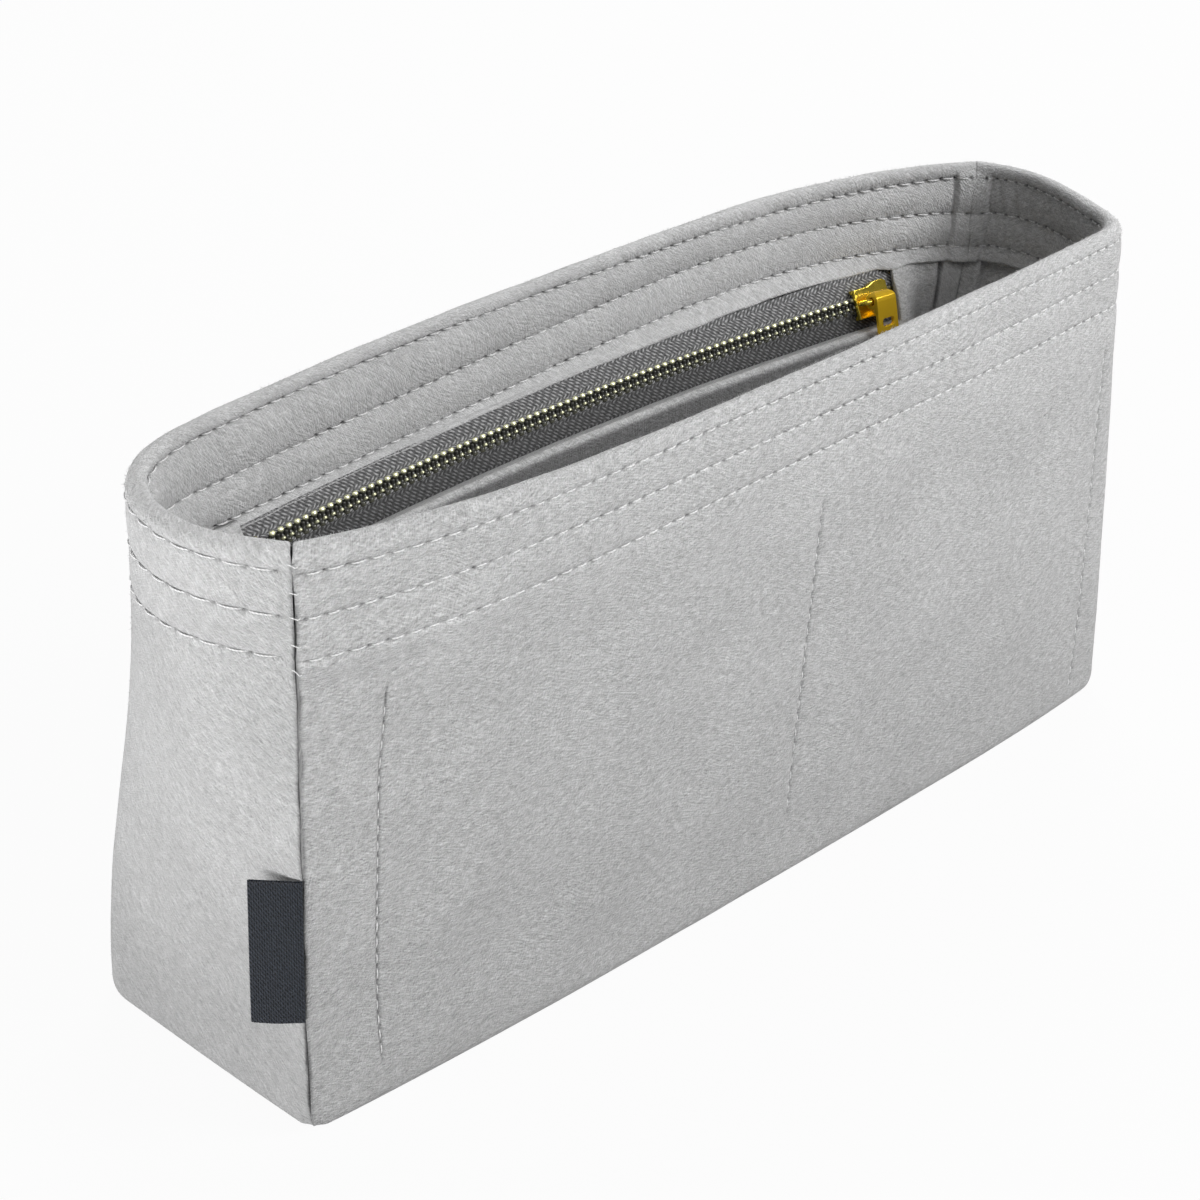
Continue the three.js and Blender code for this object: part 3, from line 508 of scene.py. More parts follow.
def wrap_stations(wrap):
    around_hole = np.array([-0.55, -0.28, 0, 0.28, 0.55])
    d = [(wrap.holes[:, None] + around_hole).ravel()]
    d += [mix(wrap.holes[:-1] + 0.55, wrap.holes[1:] - 0.55, share) for share in (0.25, 0.5, 0.75)]
    near = np.array([SEAM_START, 0.3, 0.42, 0.56, 0.75, 1.0, 1.35, 1.8, 2.4, 3.2, 3.9, 4.2, 4.5, 4.8, 5.2, 5.8, 6.3])
    d += [near, WRAP_LENGTH - near]
    if wrap is FRONT:
        for lean, low, high in POCKET_SEAMS:
            ends = sorted((lean(low), lean(high)))
            d.append(np.arange(ends[0] - 1.0, ends[1] + 1.0, 0.26))
    d = np.unique(join(d))
    d = d[(d >= SEAM_START) & (d <= WRAP_LENGTH - SEAM_START)]
    return d[join([[True], np.diff(d) > 0.06])]


def make_wrap(name, wrap, angle, seed):
    """One felt wrap, laid row by row: up the outside, over the rim, down the hem and the inside."""
    s = wrap_stations(wrap)
    flat = np.zeros(len(s))
    gap = end_gap(s)
    edge = wrap.hem(s)
    third, second, first = [row(s) for row in wrap.rows[::-1]]
    room = np.clip((third - edge - 0.9) / ROW_REACH, 0.3, 1.0)
    beside = (-ROW_REACH, -0.7, -0.38, -0.19, 0.0, 0.19, 0.38, 0.7, ROW_REACH)
    band = [third + min(b, 0) * room + max(b, 0) for b in beside]
    for below, row in ((third, second), (second, first)):
        band += [mix(below + ROW_REACH, row - ROW_REACH, t) for t in (0.33, 0.67)]
        band += [row + b for b in beside]
    band += [mix(first + ROW_REACH, RIM_TOP, t) for t in (0.25, 0.5, 0.75)]
    rings, cloth, shades = [], [], []
    run = 0.0
    # painted shade in the groove of each corner seam, darkest at the cut ends
    seam_painted_shade = np.interp(gap, (0.2, 0.3, 0.45, 0.65, 0.9), (0.66, 0.58, 0.36, 0.12, 0.0))
    to_seam = np.where(s < WRAP_LENGTH / 2, -1.0, 1.0) * fall(gap, 0.3, 1.4) * (SEAM_START - 0.04)
    roll = edge_roll(s)
    top_ripple = 0.1 * ripple(s, flat, 6, seed + 2)

    def lay(z, inset, up, inward, grow, dark, shift=0.0):
        nonlocal run
        rim = smooth(z, 89, 96)
        low_corner = 0.9 * fall(gap, 0, 3.5) * fall(z, 0, 7)
        wander = 0.24 * ripple(flat + seed, z, 3.6, seed + 7) * fall(gap, 0.4, 3) * smooth(z, 2, 7)
        # the seam's painted shade: uneven, a little lighter near the rim, gone at the foot
        seam = seam_painted_shade * np.clip(0.8 + 0.5 * ripple(flat, z, 2.8, seed + 9), 0.3, 1.2)
        seam *= smooth(z, 0.6, 2.5) * (1 - 0.2 * rim)
        shut = to_seam * np.maximum(fall(z, 2, 7), 0.75 * rim)
        point, out = face_point(wrap, s + shift + shut + wander, z, inset + low_corner, up, inward)
        point += out * grow[:, None]
        if rings:
            run += np.linalg.norm(point - rings[-1], axis=1).mean()
        rings.append(point)
        cloth.append(turned(s + shift, run + flat, angle, seed))
        shades.append(np.clip(seam + dark, 0, 1))

    # painted shade for the light's fall-off: walls darker towards the bottom, and everywhere below the lighter top
    # band
    def painted_wall_shade(z):
        low, high, top = (0.13, 0.08, 84) if wrap is FRONT else (0.25, 0.12, 104)
        return low * fall(z, 0, 55) + high * fall(z, 66, top)

    def unevenness(z):
        return 0.16 * ripple(s, z, 31, seed) + 0.06 * ripple(s, z, 9, seed + 1)

    def lay_row(h, inside, shift=0.0):
        depth, dark = row_relief(wrap, s, h, inside)
        z, inset, up, inward = rim_profile(h, inside)
        swell = hem_swell(wrap, s, z) if inside else top_ripple * smooth(h, 98, 100)
        # painted shade: a flat amount on the inside, and on the outside the painted wall shade
        shade = 0.06 if inside else painted_wall_shade(z)
        lay(z, inset, up, inward, unevenness(z) - roll - depth + swell, dark + shade, shift)

    across, high = BOTTOM_ROUND
    for t in np.linspace(0, pi / 2, 9):
        z = flat + high * (1 - cos(t))
        grow = 0.5 * unevenness(z) - 0.6 * roll * smooth(z, 1, 4)
        lay(z, across * (1 - sin(t)), -cos(t), -sin(t), grow, painted_wall_shade(z))
    for z in np.arange(6.0, 77.2, 2.7):
        z = flat + z
        depth, dark = line_relief(s, z) if wrap is FRONT else (0.0, 0.0)
        lay(z, 0, 0, -1, unevenness(z) - roll - depth, dark + painted_wall_shade(z))
    for t in (0.0, 0.35, 0.7):
        lay_row(mix(78.2, third - ROW_REACH, t), False)
    for h in band:
        lay_row(h, False, row_phase(wrap, s, h))
    lay(flat + HEIGHT, FELT, 1, 0, top_ripple - roll, flat)
    for h in band[::-1]:
        lay_row(h, True, row_phase(wrap, s, h))
    for t in (0.3, 0.6, 0.85, 1.0):
        lay_row(mix(third - ROW_REACH * room, edge + EDGE_ROUND * room, t), True)
    # painted shade: the hem's round edge darkening as it turns under, darkest in the gap behind it, and a little on
    # the inside wall below
    for t in (0.35, 0.7, 1.0):
        turn = t * pi / 2
        z = edge + EDGE_ROUND * room * (1 - sin(turn)) + 0.12 * ripple(s, flat, 5, seed + 3)
        out = hem_swell(wrap, s, z) - EDGE_ROUND * (1 - cos(turn))
        lay(z, HEM_INSET, 0, 1, out, 0.1 * t)
    lay(edge + 0.05, HEM_INSET - 1.4, 0, 0, flat, 0.5)
    lay(edge + 1.6, FELT + 0.06, 0, 0, flat, 0.9)
    doubled = 1.95 * fall(gap, 5.4, 6.2)
    for t in np.linspace(0, 1, 13):
        z = mix(edge - 0.2, flat, t)
        inset = FELT + doubled * smooth(z, 7.4, 8.6)
        lay(z, inset, 0, 1, 0.5 * unevenness(z) * smooth(z, 2, 8), 0.08)
    return swept(name, np.stack(rings, 1), np.stack(cloth, 1), np.stack(shades, 1))


# Threads

class Threads:
    """Stitches gathered into one mesh of short tubes."""

    def __init__(self):
        self.points, self.faces, self.cloth, self.shade = [], [], [], []
        self.count = 0

    def add(self, path, outward, radius=THREAD_RADIUS, dull=0.0):
        """One stitch along path[n, xyz]; outward is the direction away from the felt."""
        path = np.asarray(path, float)
        along = unit(np.gradient(path, axis=0))
        side = unit(np.cross(along, outward))
        angle = circle(THREAD_SIDES)
        swell = np.full(len(path), radius)
        swell[[0, -1]] *= 0.65
        rings = path[:, None] + swell[:, None, None] * ringed(angle, side, np.cross(side, along))
        index = self.count + numbered(rings)
        self.points.append(rings.reshape(-1, 3))
        self.faces.append(tube_faces(index))
        run = run_along(path)
        self.cloth.append(stacked(run[:, None], angle / (2 * pi), 0).reshape(-1, 3))
        # painted shade: each thread darkened at its ends, where it dives into a needle hole, and dimmed all over by
        # the given amount
        ends = np.minimum(run, run[-1] - run)
        self.shade.append(np.repeat(1 - (1 - dull) * smooth(ends, 0.3, 0.75), THREAD_SIDES))
        self.count += index.size

    def piece(self, name):
        return make_piece(name, join(self.points), [join(self.faces)], join(self.cloth), join(self.shade))


ARC = np.linspace(0, 1, 9)
ARC_LIFT = np.sin(pi * ARC) ** 0.6


def sew(threads, place, holes, seed, sink, tilt=0.07, aside=0.0, dull=0.0):
    """A stitch from each hole to the next; place(s, sideways, depth) gives points and the outward direction."""
    rng = seeded(seed)
    for start, end in zip(holes[:-1], holes[1:]):
        s = mix(start + 0.16 + rng.uniform(0, 0.12), end - 0.16 - rng.uniform(0, 0.12), ARC)
        lean = mix(-tilt + rng.uniform(-0.05, 0.05), tilt + rng.uniform(-0.05, 0.05), ARC)
        depth = sink + 0.6 * (1 - ARC_LIFT) - rng.uniform(0, 0.07)
        threads.add(*place(s, lean + aside, depth), dull=dull)


def on_wrap(wrap, row, inside):
    def place(s, sideways, depth):
        h = row(s) + sideways
        z, inset, up, inward = rim_profile(h, inside)
        point, out = face_point(wrap, s + row_phase(wrap, s, h), z, inset, up, inward)
        swell = hem_swell(wrap, s, z) if inside else 0.0
        return point + out * (swell - depth)[:, None], out
    return place


def on_line(lean, inside):
    def place(z, sideways, depth):
        inset, inward = (PANEL_SEAT + FELT - depth, 1) if inside else (depth, -1)
        return face_point(FRONT, lean(z) + sideways, z, inset, 0, inward)
    return place


def seam_ladder(threads, before, after, seed):
    """Short threads that cross the groove of a corner seam."""
    rng = seeded(seed)
    steps = [(1.0, 0.8), (0.86, 0.26), (0.66, 0.03), (0.4, -0.04)]
    for z in np.arange(80.5, HEIGHT - 1.5, LADDER_STITCH):
        z += rng.uniform(-0.3, 0.3)
        slope = rng.uniform(0.2, 0.9)
        path = [felt_point(before, WRAP_LENGTH - d, z + slope / 2, i)[0] for d, i in steps]
        path += [felt_point(after, d, z - slope / 2, i)[0] for d, i in steps[::-1]]
        threads.add(path, [*seam_out(before, after, z), 0], 0.09)


FOLD_SPAN = (196, 228)


def make_fuzz():
    """Loose fibre ends that stand out of the felt along the rim, the hem's edge and the folds."""
    rng = seeded(77)
    planted = []
    for wrap in (FRONT, BACK):
        for inside in (False, True):
            d = rng.uniform(0.4, WRAP_LENGTH - 0.4, 1700)
            rim = rim_profile(RIM_TOP - 3.4 * rng.uniform(0, 1, len(d)) ** 1.4, inside)
            planted.append(face_point(wrap, d, *rim))
        d = rng.uniform(*FOLD_SPAN, 400)
        planted.append(face_point(wrap, d, rng.uniform(3, 97, len(d)), 0, 0, -1))
    d = rng.uniform(5, 212, 900)
    z = BACK.hem(d) + 0.25
    planted.append(face_point(BACK, d, z, HEM_INSET + hem_swell(BACK, d, z) - 0.2, -0.8, 0.6))
    roots, ways = [join(part) for part in zip(*planted)]
    count = len(roots)
    ways = unit(ways * rng.uniform(0.35, 1.0, (count, 1)) + rng.normal(0, 0.55, (count, 3)))
    bend = np.cross(ways, rng.normal(0, 1, (count, 3)))
    length = rng.uniform(0.35, 0.7, (count, 1))
    side = unit(bend)
    ring = ringed(circle(3), side, np.cross(ways, side))
    roots -= 0.25 * ways
    middle = roots + ways * length * 0.55 + bend * length * 0.08
    tip = roots + ways * length + bend * length * 0.3
    points = join([roots[:, None] + 0.035 * ring, middle[:, None] + 0.024 * ring, tip[:, None]], 1)
    first = 7 * np.arange(count)[:, None, None]
    sides = first + np.array([[0, 1, 4, 3], [1, 2, 5, 4], [2, 0, 3, 5]])
    ends = first + np.array([[3, 4, 6], [4, 5, 6], [5, 3, 6], [2, 1, 0]])
    cloth = np.repeat(rng.uniform(0, 200, (count, 3)), 7, axis=0)
    return make_piece("felt_fuzz", points.reshape(-1, 3), [sides.reshape(-1, 4), ends.reshape(-1, 3)], cloth)


# Zip

def zip_point(turn, v, n):
    radius = zip_radius(v, n)
    level = ZIP_HEIGHT + v * TILT_COS + n * TILT_SIN
    x, y = ZIP_CENTRE
    return stacked(x + radius * np.cos(turn), y + radius * np.sin(turn), level)


def inset_to_radius(d, z, radius):
    place, normal = wall(BACK, d, z)
    off = place - ZIP_CENTRE
    half = (off * normal).sum(-1)
    return -half - np.sqrt(half * half - (off * off).sum(-1) + radius * radius)


def panel_rise(z, top):
    """From 0 at a panel's sewn foot to 1 at its top."""
    return np.sin(pi / 2 * ramp(z, PANEL_BOTTOM, top))


def panel_inset(d, z):
    """Back face of the zipped pocket's panel: on the wall at its foot and ends, out at the zip."""
    behind = 0.6
    right, left = WINDOW_ENDS[0] - 2, WINDOW_ENDS[1] + 2
    from_ends = smooth(d, right - 9, right) * fall(d, left, left + 9)
    v = np.maximum((z - ZIP_HEIGHT - behind * TILT_SIN) / TILT_COS, -WINDOW_DEPTH)
    at_zip = np.maximum(inset_to_radius(d, z, zip_radius(v, behind)), PANEL_SEAT)
    return mix(PANEL_SEAT, at_zip, panel_rise(z, SILL) * from_ends)


def cut_edge(away):
    """Share of the felt's half thickness left near a cut edge, so that the edge is softly rounded."""
    return mix(0.55, 1.0, rounded(away, 0.55))


def make_zip_panel():
    start, end = PANEL_ENDS
    right, left = WINDOW_ENDS
    d = join([
        start + CUT_STEPS,
        np.arange(8.3, right - 1, 0.6),
        right - CUT_STEPS[::-1],
        np.arange(right + 1.2, left - 1, 1.2),
        left + CUT_STEPS,
        np.arange(left + 1.5, end - 1, 0.6),
        end - CUT_STEPS[::-1],
    ])
    z = join([
        PANEL_BOTTOM + CUT_STEPS,
        np.arange(7.8, SILL - 5, 1.3),
        np.arange(SILL - 4.6, SILL - 1, 0.4),
        SILL - CUT_STEPS[::-1],
        np.arange(SILL + 0.6, 81.8, 0.6),
    ])
    dd, zz = np.meshgrid(d, z, indexing="ij")
    hair = 1e-6
    away = np.minimum.reduce([dd - start, end - dd, zz - PANEL_BOTTOM])
    in_window = (dd > right - hair) & (dd < left + hair)
    away = np.where(in_window & (zz <= SILL + hair), np.minimum(away, SILL - zz), away)
    side = np.maximum(right - dd, dd - left)
    away = np.where((zz > SILL) & (side >= -hair), np.minimum(away, np.maximum(side, 0)), away)
    pressed = FELT / 2 * (1 - 0.5 * smooth(zz, 76.5, 80.5))
    half = pressed * cut_edge(np.maximum(away, 0))
    folds = fall(dd, 9, 13) * smooth(zz, 25, 60)
    waves = 1 + np.sin(2 * pi * (dd - 7.4) / 4.0 + 0.5 * ripple(dd, zz, 12, 5))
    uneven = np.abs(0.25 * ripple(dd, zz, 26, 15)) * smooth(zz, 12, 24)
    inset = panel_inset(dd, zz) + pressed + 0.3 * folds * waves + uneven
    front, back = [felt_point(BACK, dd, zz, inset + h)[0] for h in (half, -half)]
    middle_d, middle_z = (d[1:] + d[:-1]) / 2, (z[1:] + z[:-1]) / 2
    window = ((middle_d > right) & (middle_d < left))[:, None] & (middle_z > SILL)
    # painted shade on the panel's face below the sill, and a little over the whole panel
    painted_shade_under_sill = smooth(SILL - zz, 0.4, 1.6) * smooth(zz, 45, 66)
    shade = 0.1 + 0.7 * painted_shade_under_sill * smooth(dd, 19, 24) * fall(dd, 190, 198)
    return thick_sheet("zip_panel_felt", front, back, turned(dd, zz, 24, 5), ~window, shade)


def pocket_slack(d, z):
    slack = 0.0
    for low, high in zip(POCKET_LINES[:-1], POCKET_LINES[1:]):
        slack += POCKET_SLACK * np.sin(pi * ramp(d, low, high)) ** 2 * panel_rise(z, POCKET_TOP)
    return slack


def make_pocket_panel():
    low, high = POCKET_LINES[0] - 2.5, POCKET_LINES[2] + 2.5
    d = join([low + CUT_STEPS, np.arange(low + 1.3, high - 1, 1.0), high - CUT_STEPS[::-1]])
    z = join([PANEL_BOTTOM + CUT_STEPS, np.arange(7.8, POCKET_TOP - 1, 1.2), POCKET_TOP - CUT_STEPS[::-1]])
    dd, zz = np.meshgrid(d, z, indexing="ij")
    away = np.minimum.reduce([dd - low, high - dd, zz - PANEL_BOTTOM, POCKET_TOP - zz])
    half = FELT / 2 * cut_edge(away)
    sewn = sum(bump(dd - lean(zz), 0.7) for lean, _, _ in POCKET_SEAMS)
    slack = pocket_slack(dd, zz)
    inset = PANEL_SEAT + FELT / 2 + slack + np.minimum(slack, 1) * 0.3 * ripple(dd, zz, 24, 45)
    front, back = [felt_point(FRONT, dd, zz, inset + h)[0] for h in (half - 0.3 * sewn, -half)]
    return thick_sheet("pocket_panel_felt", front, back, turned(dd, zz, -17, 6))


def make_base():
    """Base felt with its edge turned up inside the walls."""
    rings = [(0.0, 3.3), (0.25, 2.75), (0.8, 2.5), (2.5, 2.5), (4.5, 2.5), (5.6, 2.5), (5.9, 2.7), (6.0, 3.2)]
    rings += [(6.0, 4.1), (5.8, 4.55), (5.3, 4.7), (3.6, 4.7), (2.7, 4.8), (2.3, 5.3), (2.2, 6.2)]
    step = np.arange(4.5, WRAP_LENGTH - 4, 1.5)
    shown = np.array([join([felt_point(wrap, step, z, inset)[0] for wrap in (FRONT, BACK)]) for z, inset in rings])
    spine = np.zeros_like(shown[-1])
    spine[:, 0] = np.clip(shown[-1][:, 0], -84, 84)
    inner, outer = [], []
    for share in np.linspace(0, 0.95, 20)[1:]:
        above, below = mix(shown[-1], spine, share), mix(shown[0], spine, share)
        above[:, 2] = 2.2 + 0.12 * ripple(above[:, 0], above[:, 1], 17, 61) * smooth(share, 0, 0.3)
        below[:, 2] = 0.0
        inner.append(above)
        outer.append(below)
    rings = join([outer[::-1], shown, inner])
    return swept("base_felt", rings, turned(rings[..., 0], rings[..., 1] + rings[..., 2], 12, 7))


def chevron(s, v):
    """Herringbone ribs of the tape, from -1 to 1."""
    pitch, width, slant = HERRINGBONE
    zig = np.abs((v / width) % 1 - 0.5) * 2
    return np.sin(2 * pi * (s / pitch - slant * zig))


def to_distance(turn):
    return mix(*WINDOW_ENDS, (turn - WINDOW_TURNS[0]) / (WINDOW_TURNS[1] - WINDOW_TURNS[0]))


def make_tape(name, upper):
    tucked = 1.6 / ZIP_RADIUS
    turns = np.linspace(WINDOW_TURNS[0] - tucked, WINDOW_TURNS[1] + tucked, 1000)[:, None]
    share = np.linspace(0, 1, 21)
    if upper:
        v = mix(1.5, tape_top(BACK.hem(to_distance(turns))), share)
        n = tape_lean(v)
    else:
        run = mix(1.5, WINDOW_DEPTH + 4.0, share)
        down = np.maximum(run - WINDOW_DEPTH, 0)
        v = -np.minimum(run, WINDOW_DEPTH) - down * TILT_COS
        n = -down * TILT_SIN
    turns, v, n = floats(turns, v, n)
    s = (turns - turns[0]) * ZIP_RADIUS * (1 if upper else -1)
    half = 0.24 + 0.05 * chevron(s, np.abs(v)) * smooth(np.abs(v), 1.7, 2.2)
    front, back = zip_point(turns, v, n + half), zip_point(turns, v, n - half)
    cloth = stacked(s, np.abs(v), 0)
    # painted shade on the lower tape below the teeth
    return thick_sheet(name, front, back, cloth, shade=np.full(v.shape, 0.0 if upper else 0.78))


def make_cord(name, side):
    """Corded edge of a tape, on which the teeth are crimped."""
    end = CHAIN_START + (TOOTH_COUNT + 0.4) * TOOTH_PITCH / ZIP_RADIUS
    turns = np.linspace(CHAIN_START + 0.0002, end, 500)[:, None]
    angle = circle(10)
    rings = zip_point(turns, side * (1.3 + 0.45 * np.cos(angle)), 0.52 * np.sin(angle))
    return swept(name, rings, stacked((turns - turns[0]) * ZIP_RADIUS, 2 * angle / pi, 3))


def make_teeth(name, side, offset):
    """Cast metal teeth: a domed head that meshes with the other row, and legs round the cord."""
    v = np.array([-0.75, -0.7, -0.55, -0.35, -0.1, 0.15, 0.4, 0.65, 0.9, 1.1, 1.3, 1.46, 1.56, 1.6])
    half = np.array([0.2, 0.32, 0.42, 0.46, 0.44, 0.4, 0.42, 0.5, 0.6, 0.64, 0.64, 0.6, 0.46, 0.2])
    high = np.array([0.3, 0.6, 0.9, 0.85, 0.76, 0.66, 0.66, 0.84, 1.0, 0.945, 0.89, 0.85, 0.6, 0.3])
    # painted highlights where light from above catches the upper row's legs and head tips; the rest of the teeth, and
    # nearly all of the lower row, is left in painted shade
    painted_highlight = 1.4 * bump(v - 1.22, 0.34) + 1.4 * bump(v + 0.55, 0.22) if side > 0 else 0.1 * bump(v - 1.3, 0.25)
    sides, squareness = 14, 3.2
    c, s = np.cos(circle(sides)), np.sin(circle(sides))
    square = (np.abs(c) ** squareness + np.abs(s) ** squareness) ** (-1 / squareness)
    along, out = np.outer(half, c * square), np.outer(high, s * square)
    painted_shade = np.clip(1 - np.outer(np.minimum(painted_highlight, 1), smooth(s, 0.1, 0.75)), 0, 1)
    points, faces = [], []
    rng = seeded(11 + side)
    for k in range(TOOTH_COUNT):
        turn = CHAIN_START + (offset + 0.45 + k * TOOTH_PITCH + rng.uniform(-0.03, 0.03)) / ZIP_RADIUS
        lean = rng.uniform(-0.03, 0.03)
        rings = zip_point(turn + (along + lean * out) / ZIP_RADIUS, side * v[:, None], out)
        points.append(rings.reshape(-1, 3))
        faces.append(tube_faces(k * along.size + numbered(rings)))
    return make_piece(name, join(points), [join(faces)], shade=np.tile(painted_shade.ravel(), TOOTH_COUNT))


def rounded_copy(name, node, voxel, passes):
    """The CAD node's shape with its edges softened as on a casting."""
    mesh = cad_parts[node].data.copy()
    mesh.name = name
    piece = add_object(name, mesh)
    low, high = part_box(node)
    middle = (low + high) / 2
    for vertex in mesh.vertices:
        vertex.co = (vertex.co - middle) / MM
    remesh = piece.modifiers.new("even", "REMESH")
    remesh.mode = "VOXEL"
    remesh.voxel_size = voxel
    soften = piece.modifiers.new("soften", "SMOOTH")
    soften.factor = 0.5
    soften.iterations = passes
    done = bpy.data.meshes.new_from_object(piece.evaluated_get(bpy.context.evaluated_depsgraph_get()))
    piece.modifiers.clear()
    piece.data = done
    done.name = name
    for vertex in done.vertices:
        vertex.co = vertex.co * MM + middle
    done.shade_smooth()
    done.materials.clear()
    return piece


def make_label():
    """Woven ribbon folded into a flat loop that stands out of the front left seam."""
    low, high, width = 22.2, 46.6, 8.4
    z = join([[low, low + 0.1], np.linspace(low + 0.4, high - 0.4, 40), [high - 0.1, high]])
    layer, loop = 0.25, 0.2
    centre = (layer + loop) / 2
    run = np.linspace(0, width - centre - 0.12, 26)
    turn = np.linspace(-pi / 2, pi / 2, 9)[1:-1]
    x = join([run, run[-1] + centre * np.cos(turn), run[::-1]])
    y = join([0 * run - centre, centre * np.sin(turn), 0 * run + centre])
    path = stacked(x, y)
    along = unit(np.gradient(path, axis=0))
    side = stacked(along[:, 1], -along[:, 0])
    length = run_along(path)
    u, face = join([length, length[::-1]]), np.repeat([0.0, 5.0], len(length))
    rings, cloth = [], []
    for height in z:
        slim = layer / 2 * (0.72 if height in (low, high) else 1.0)
        ring = join([path + side * slim, (path - side * slim)[::-1]])
        rise = (height - low) / (high - low)
        share = ramp(ring[:, 0], 0, width)
        ring[:, 1] += 0.35 * np.sin(pi * share) * (0.6 + 0.4 * cos(3 * rise)) + 0.1 * fall(ring[:, 0], 0, 2)
        out = seam_out(BACK, FRONT, height)
        leave = np.array([out[0], -out[1]])
        across = np.array([-leave[1], leave[0]])
        root = wall(FRONT, 0, height)[0] + out * 0.45
        plan = root + np.outer(ring[:, 0], leave) + np.outer(ring[:, 1], across)
        rings.append(np.column_stack([plan, height + 0.12 * share * cos(5 * rise)]))
        cloth.append(stacked(u, height, face))
    return swept("label_ribbon", np.array(rings), np.array(cloth))


# Materials

class Graph:
    """A node tree, built by short calls."""

    def __init__(self, owner, shader="Principled BSDF"):
        owner.use_nodes = True
        self.owner, self.tree = owner, owner.node_tree
        self.shader = self.tree.nodes[shader]

    def put(self, inputs, values):
        for key, value in values.items():
            socket = inputs[key.replace("_", " ") if isinstance(key, str) else key]
            if isinstance(value, bpy.types.NodeSocket):
                self.tree.links.new(value, socket)
            else:
                socket.default_value = value

    def node(self, kind, *values, settings=None, **named):
        """The outputs of a new node."""
        made = self.tree.nodes.new("ShaderNode" + kind)
        for key, value in (settings or {}).items():
            setattr(made, key, value)
        self.put(made.inputs, {**dict(enumerate(values)), **named})
        return made.outputs

    def out(self, *args, **named):
        return self.node(*args, **named)[0]

    def math(self, operation, *values):
        return self.out("Math", *values, settings={"operation": operation})

    def vector(self, operation, *values):
        return self.out("VectorMath", *values, settings={"operation": operation})

    def wave(self, value, rate):
        return self.math("SINE", self.math("MULTIPLY", value, rate))

    def grey(self, value):
        return self.out("CombineXYZ", value, value, value)

    def stored(self, name, output):
        return self.node("Attribute", settings={"attribute_name": name})[output]

    def noise(self, place, sizes, detail, roughness, output=0):
        """Noise whose grains have these sizes."""
        scaled = self.vector("MULTIPLY", place, tuple(1.0 / s for s in sizes))
        return self.node("TexNoise", Vector=scaled, Scale=1.0, Detail=detail, Roughness=roughness)[output]

    def strayed(self, place, reach, *noise):
        """The place, moved about by a noise."""
        stray = self.vector("SUBTRACT", self.noise(place, *noise, 1), (0.5, 0.5, 0.5))
        return self.vector("ADD", place, self.vector("MULTIPLY", stray, reach))

    def weighted(self, *pairs):
        """Sum of weight times (value less a half)."""
        total = None
        for value, weight in pairs:
            term = self.math("MULTIPLY_ADD", value, weight, -0.5 * weight)
            total = term if total is None else self.math("ADD", total, term)
        return total

    def tinted(self, colour, amount):
        """The colour times one plus amount."""
        return self.vector("MULTIPLY", self.grey(self.math("ADD", amount, 1.0)), colour)

    def shaded(self, colour, tone, darkest):
        """The colour varied by tone and darkened by the stored shade."""
        left = self.math("MULTIPLY_ADD", self.stored("shade", "Fac"), darkest - 1.0, 1.0)
        return self.vector("MULTIPLY", self.tinted(colour, tone), self.grey(left))

    def finish(self, height=None, strength=0.5, distance=0.1, **sockets):
        if height is not None:
            sockets["Normal"] = self.out("Bump", Strength=strength, Distance=distance * MM, Height=height)
        self.put(self.shader.inputs, sockets)
        return self.owner


def cloth_graph(name):
    """A new material and the place on the cloth."""
    g = Graph(bpy.data.materials.new(name))
    return g, g.stored("fabric", "Vector")


def felt_material(name, contrast):
    g, place = cloth_graph(name)
    bent = g.strayed(place, (0.0, 8.0, 0.0), (22, 22, 9), 1.0, 0.5)
    layers = []
    for angle, sizes, detail, roughness, low, high in (
        (0.0, (2.7, 0.34, 1), 3.0, 0.64, 0.36, 0.64),
        (0.55, (2.0, 0.28, 1), 2.0, 0.6, 0.4, 0.68),
        (-0.9, (1.3, 0.26, 1), 2.0, 0.6, 0.42, 0.7),
    ):
        along = g.out("VectorRotate", Vector=bent, Angle=angle, settings={"rotation_type": "Z_AXIS"})
        layers.append(g.out("MapRange", g.noise(along, sizes, detail, roughness), low, high, 0.0, 1.0))
    layers.append(g.noise(place, (1.7, 1.1, 1), 3.0, 0.65))
    layers.append(g.noise(place, (0.36, 0.27, 1), 1.0, 0.5))
    cloud = g.noise(place, (19, 14, 1), 2.0, 0.5)
    fibres = g.weighted(*zip(layers, (0.34, 0.3, 0.26, 0.6, 0.6)))
    height = g.weighted(*zip(layers, (0.45, 0.4, 0.35, 1.0, 0.4)))
    tone = g.math("MULTIPLY_ADD", fibres, contrast, g.weighted((cloud, 0.18)))
    return g.finish(height, 0.66, 0.4, Base_Color=g.shaded((0.622, 0.622, 0.624), tone, 0.16), Roughness=0.93,
                    Specular_IOR_Level=0.2, Sheen_Weight=0.15, Sheen_Roughness=0.55)


def thread_material():
    g, place = cloth_graph("sewing_thread")
    x, y, _ = g.node("SeparateXYZ", place)
    twist = g.wave(g.math("MULTIPLY_ADD", x, 1.5, y), 2 * pi)
    tone = g.math("MULTIPLY", twist, 0.12)
    return g.finish(twist, 0.5, 0.04, Base_Color=g.shaded((0.82, 0.82, 0.82), tone, 0.3), Roughness=0.55,
                    Specular_IOR_Level=0.4, Sheen_Weight=0.1)


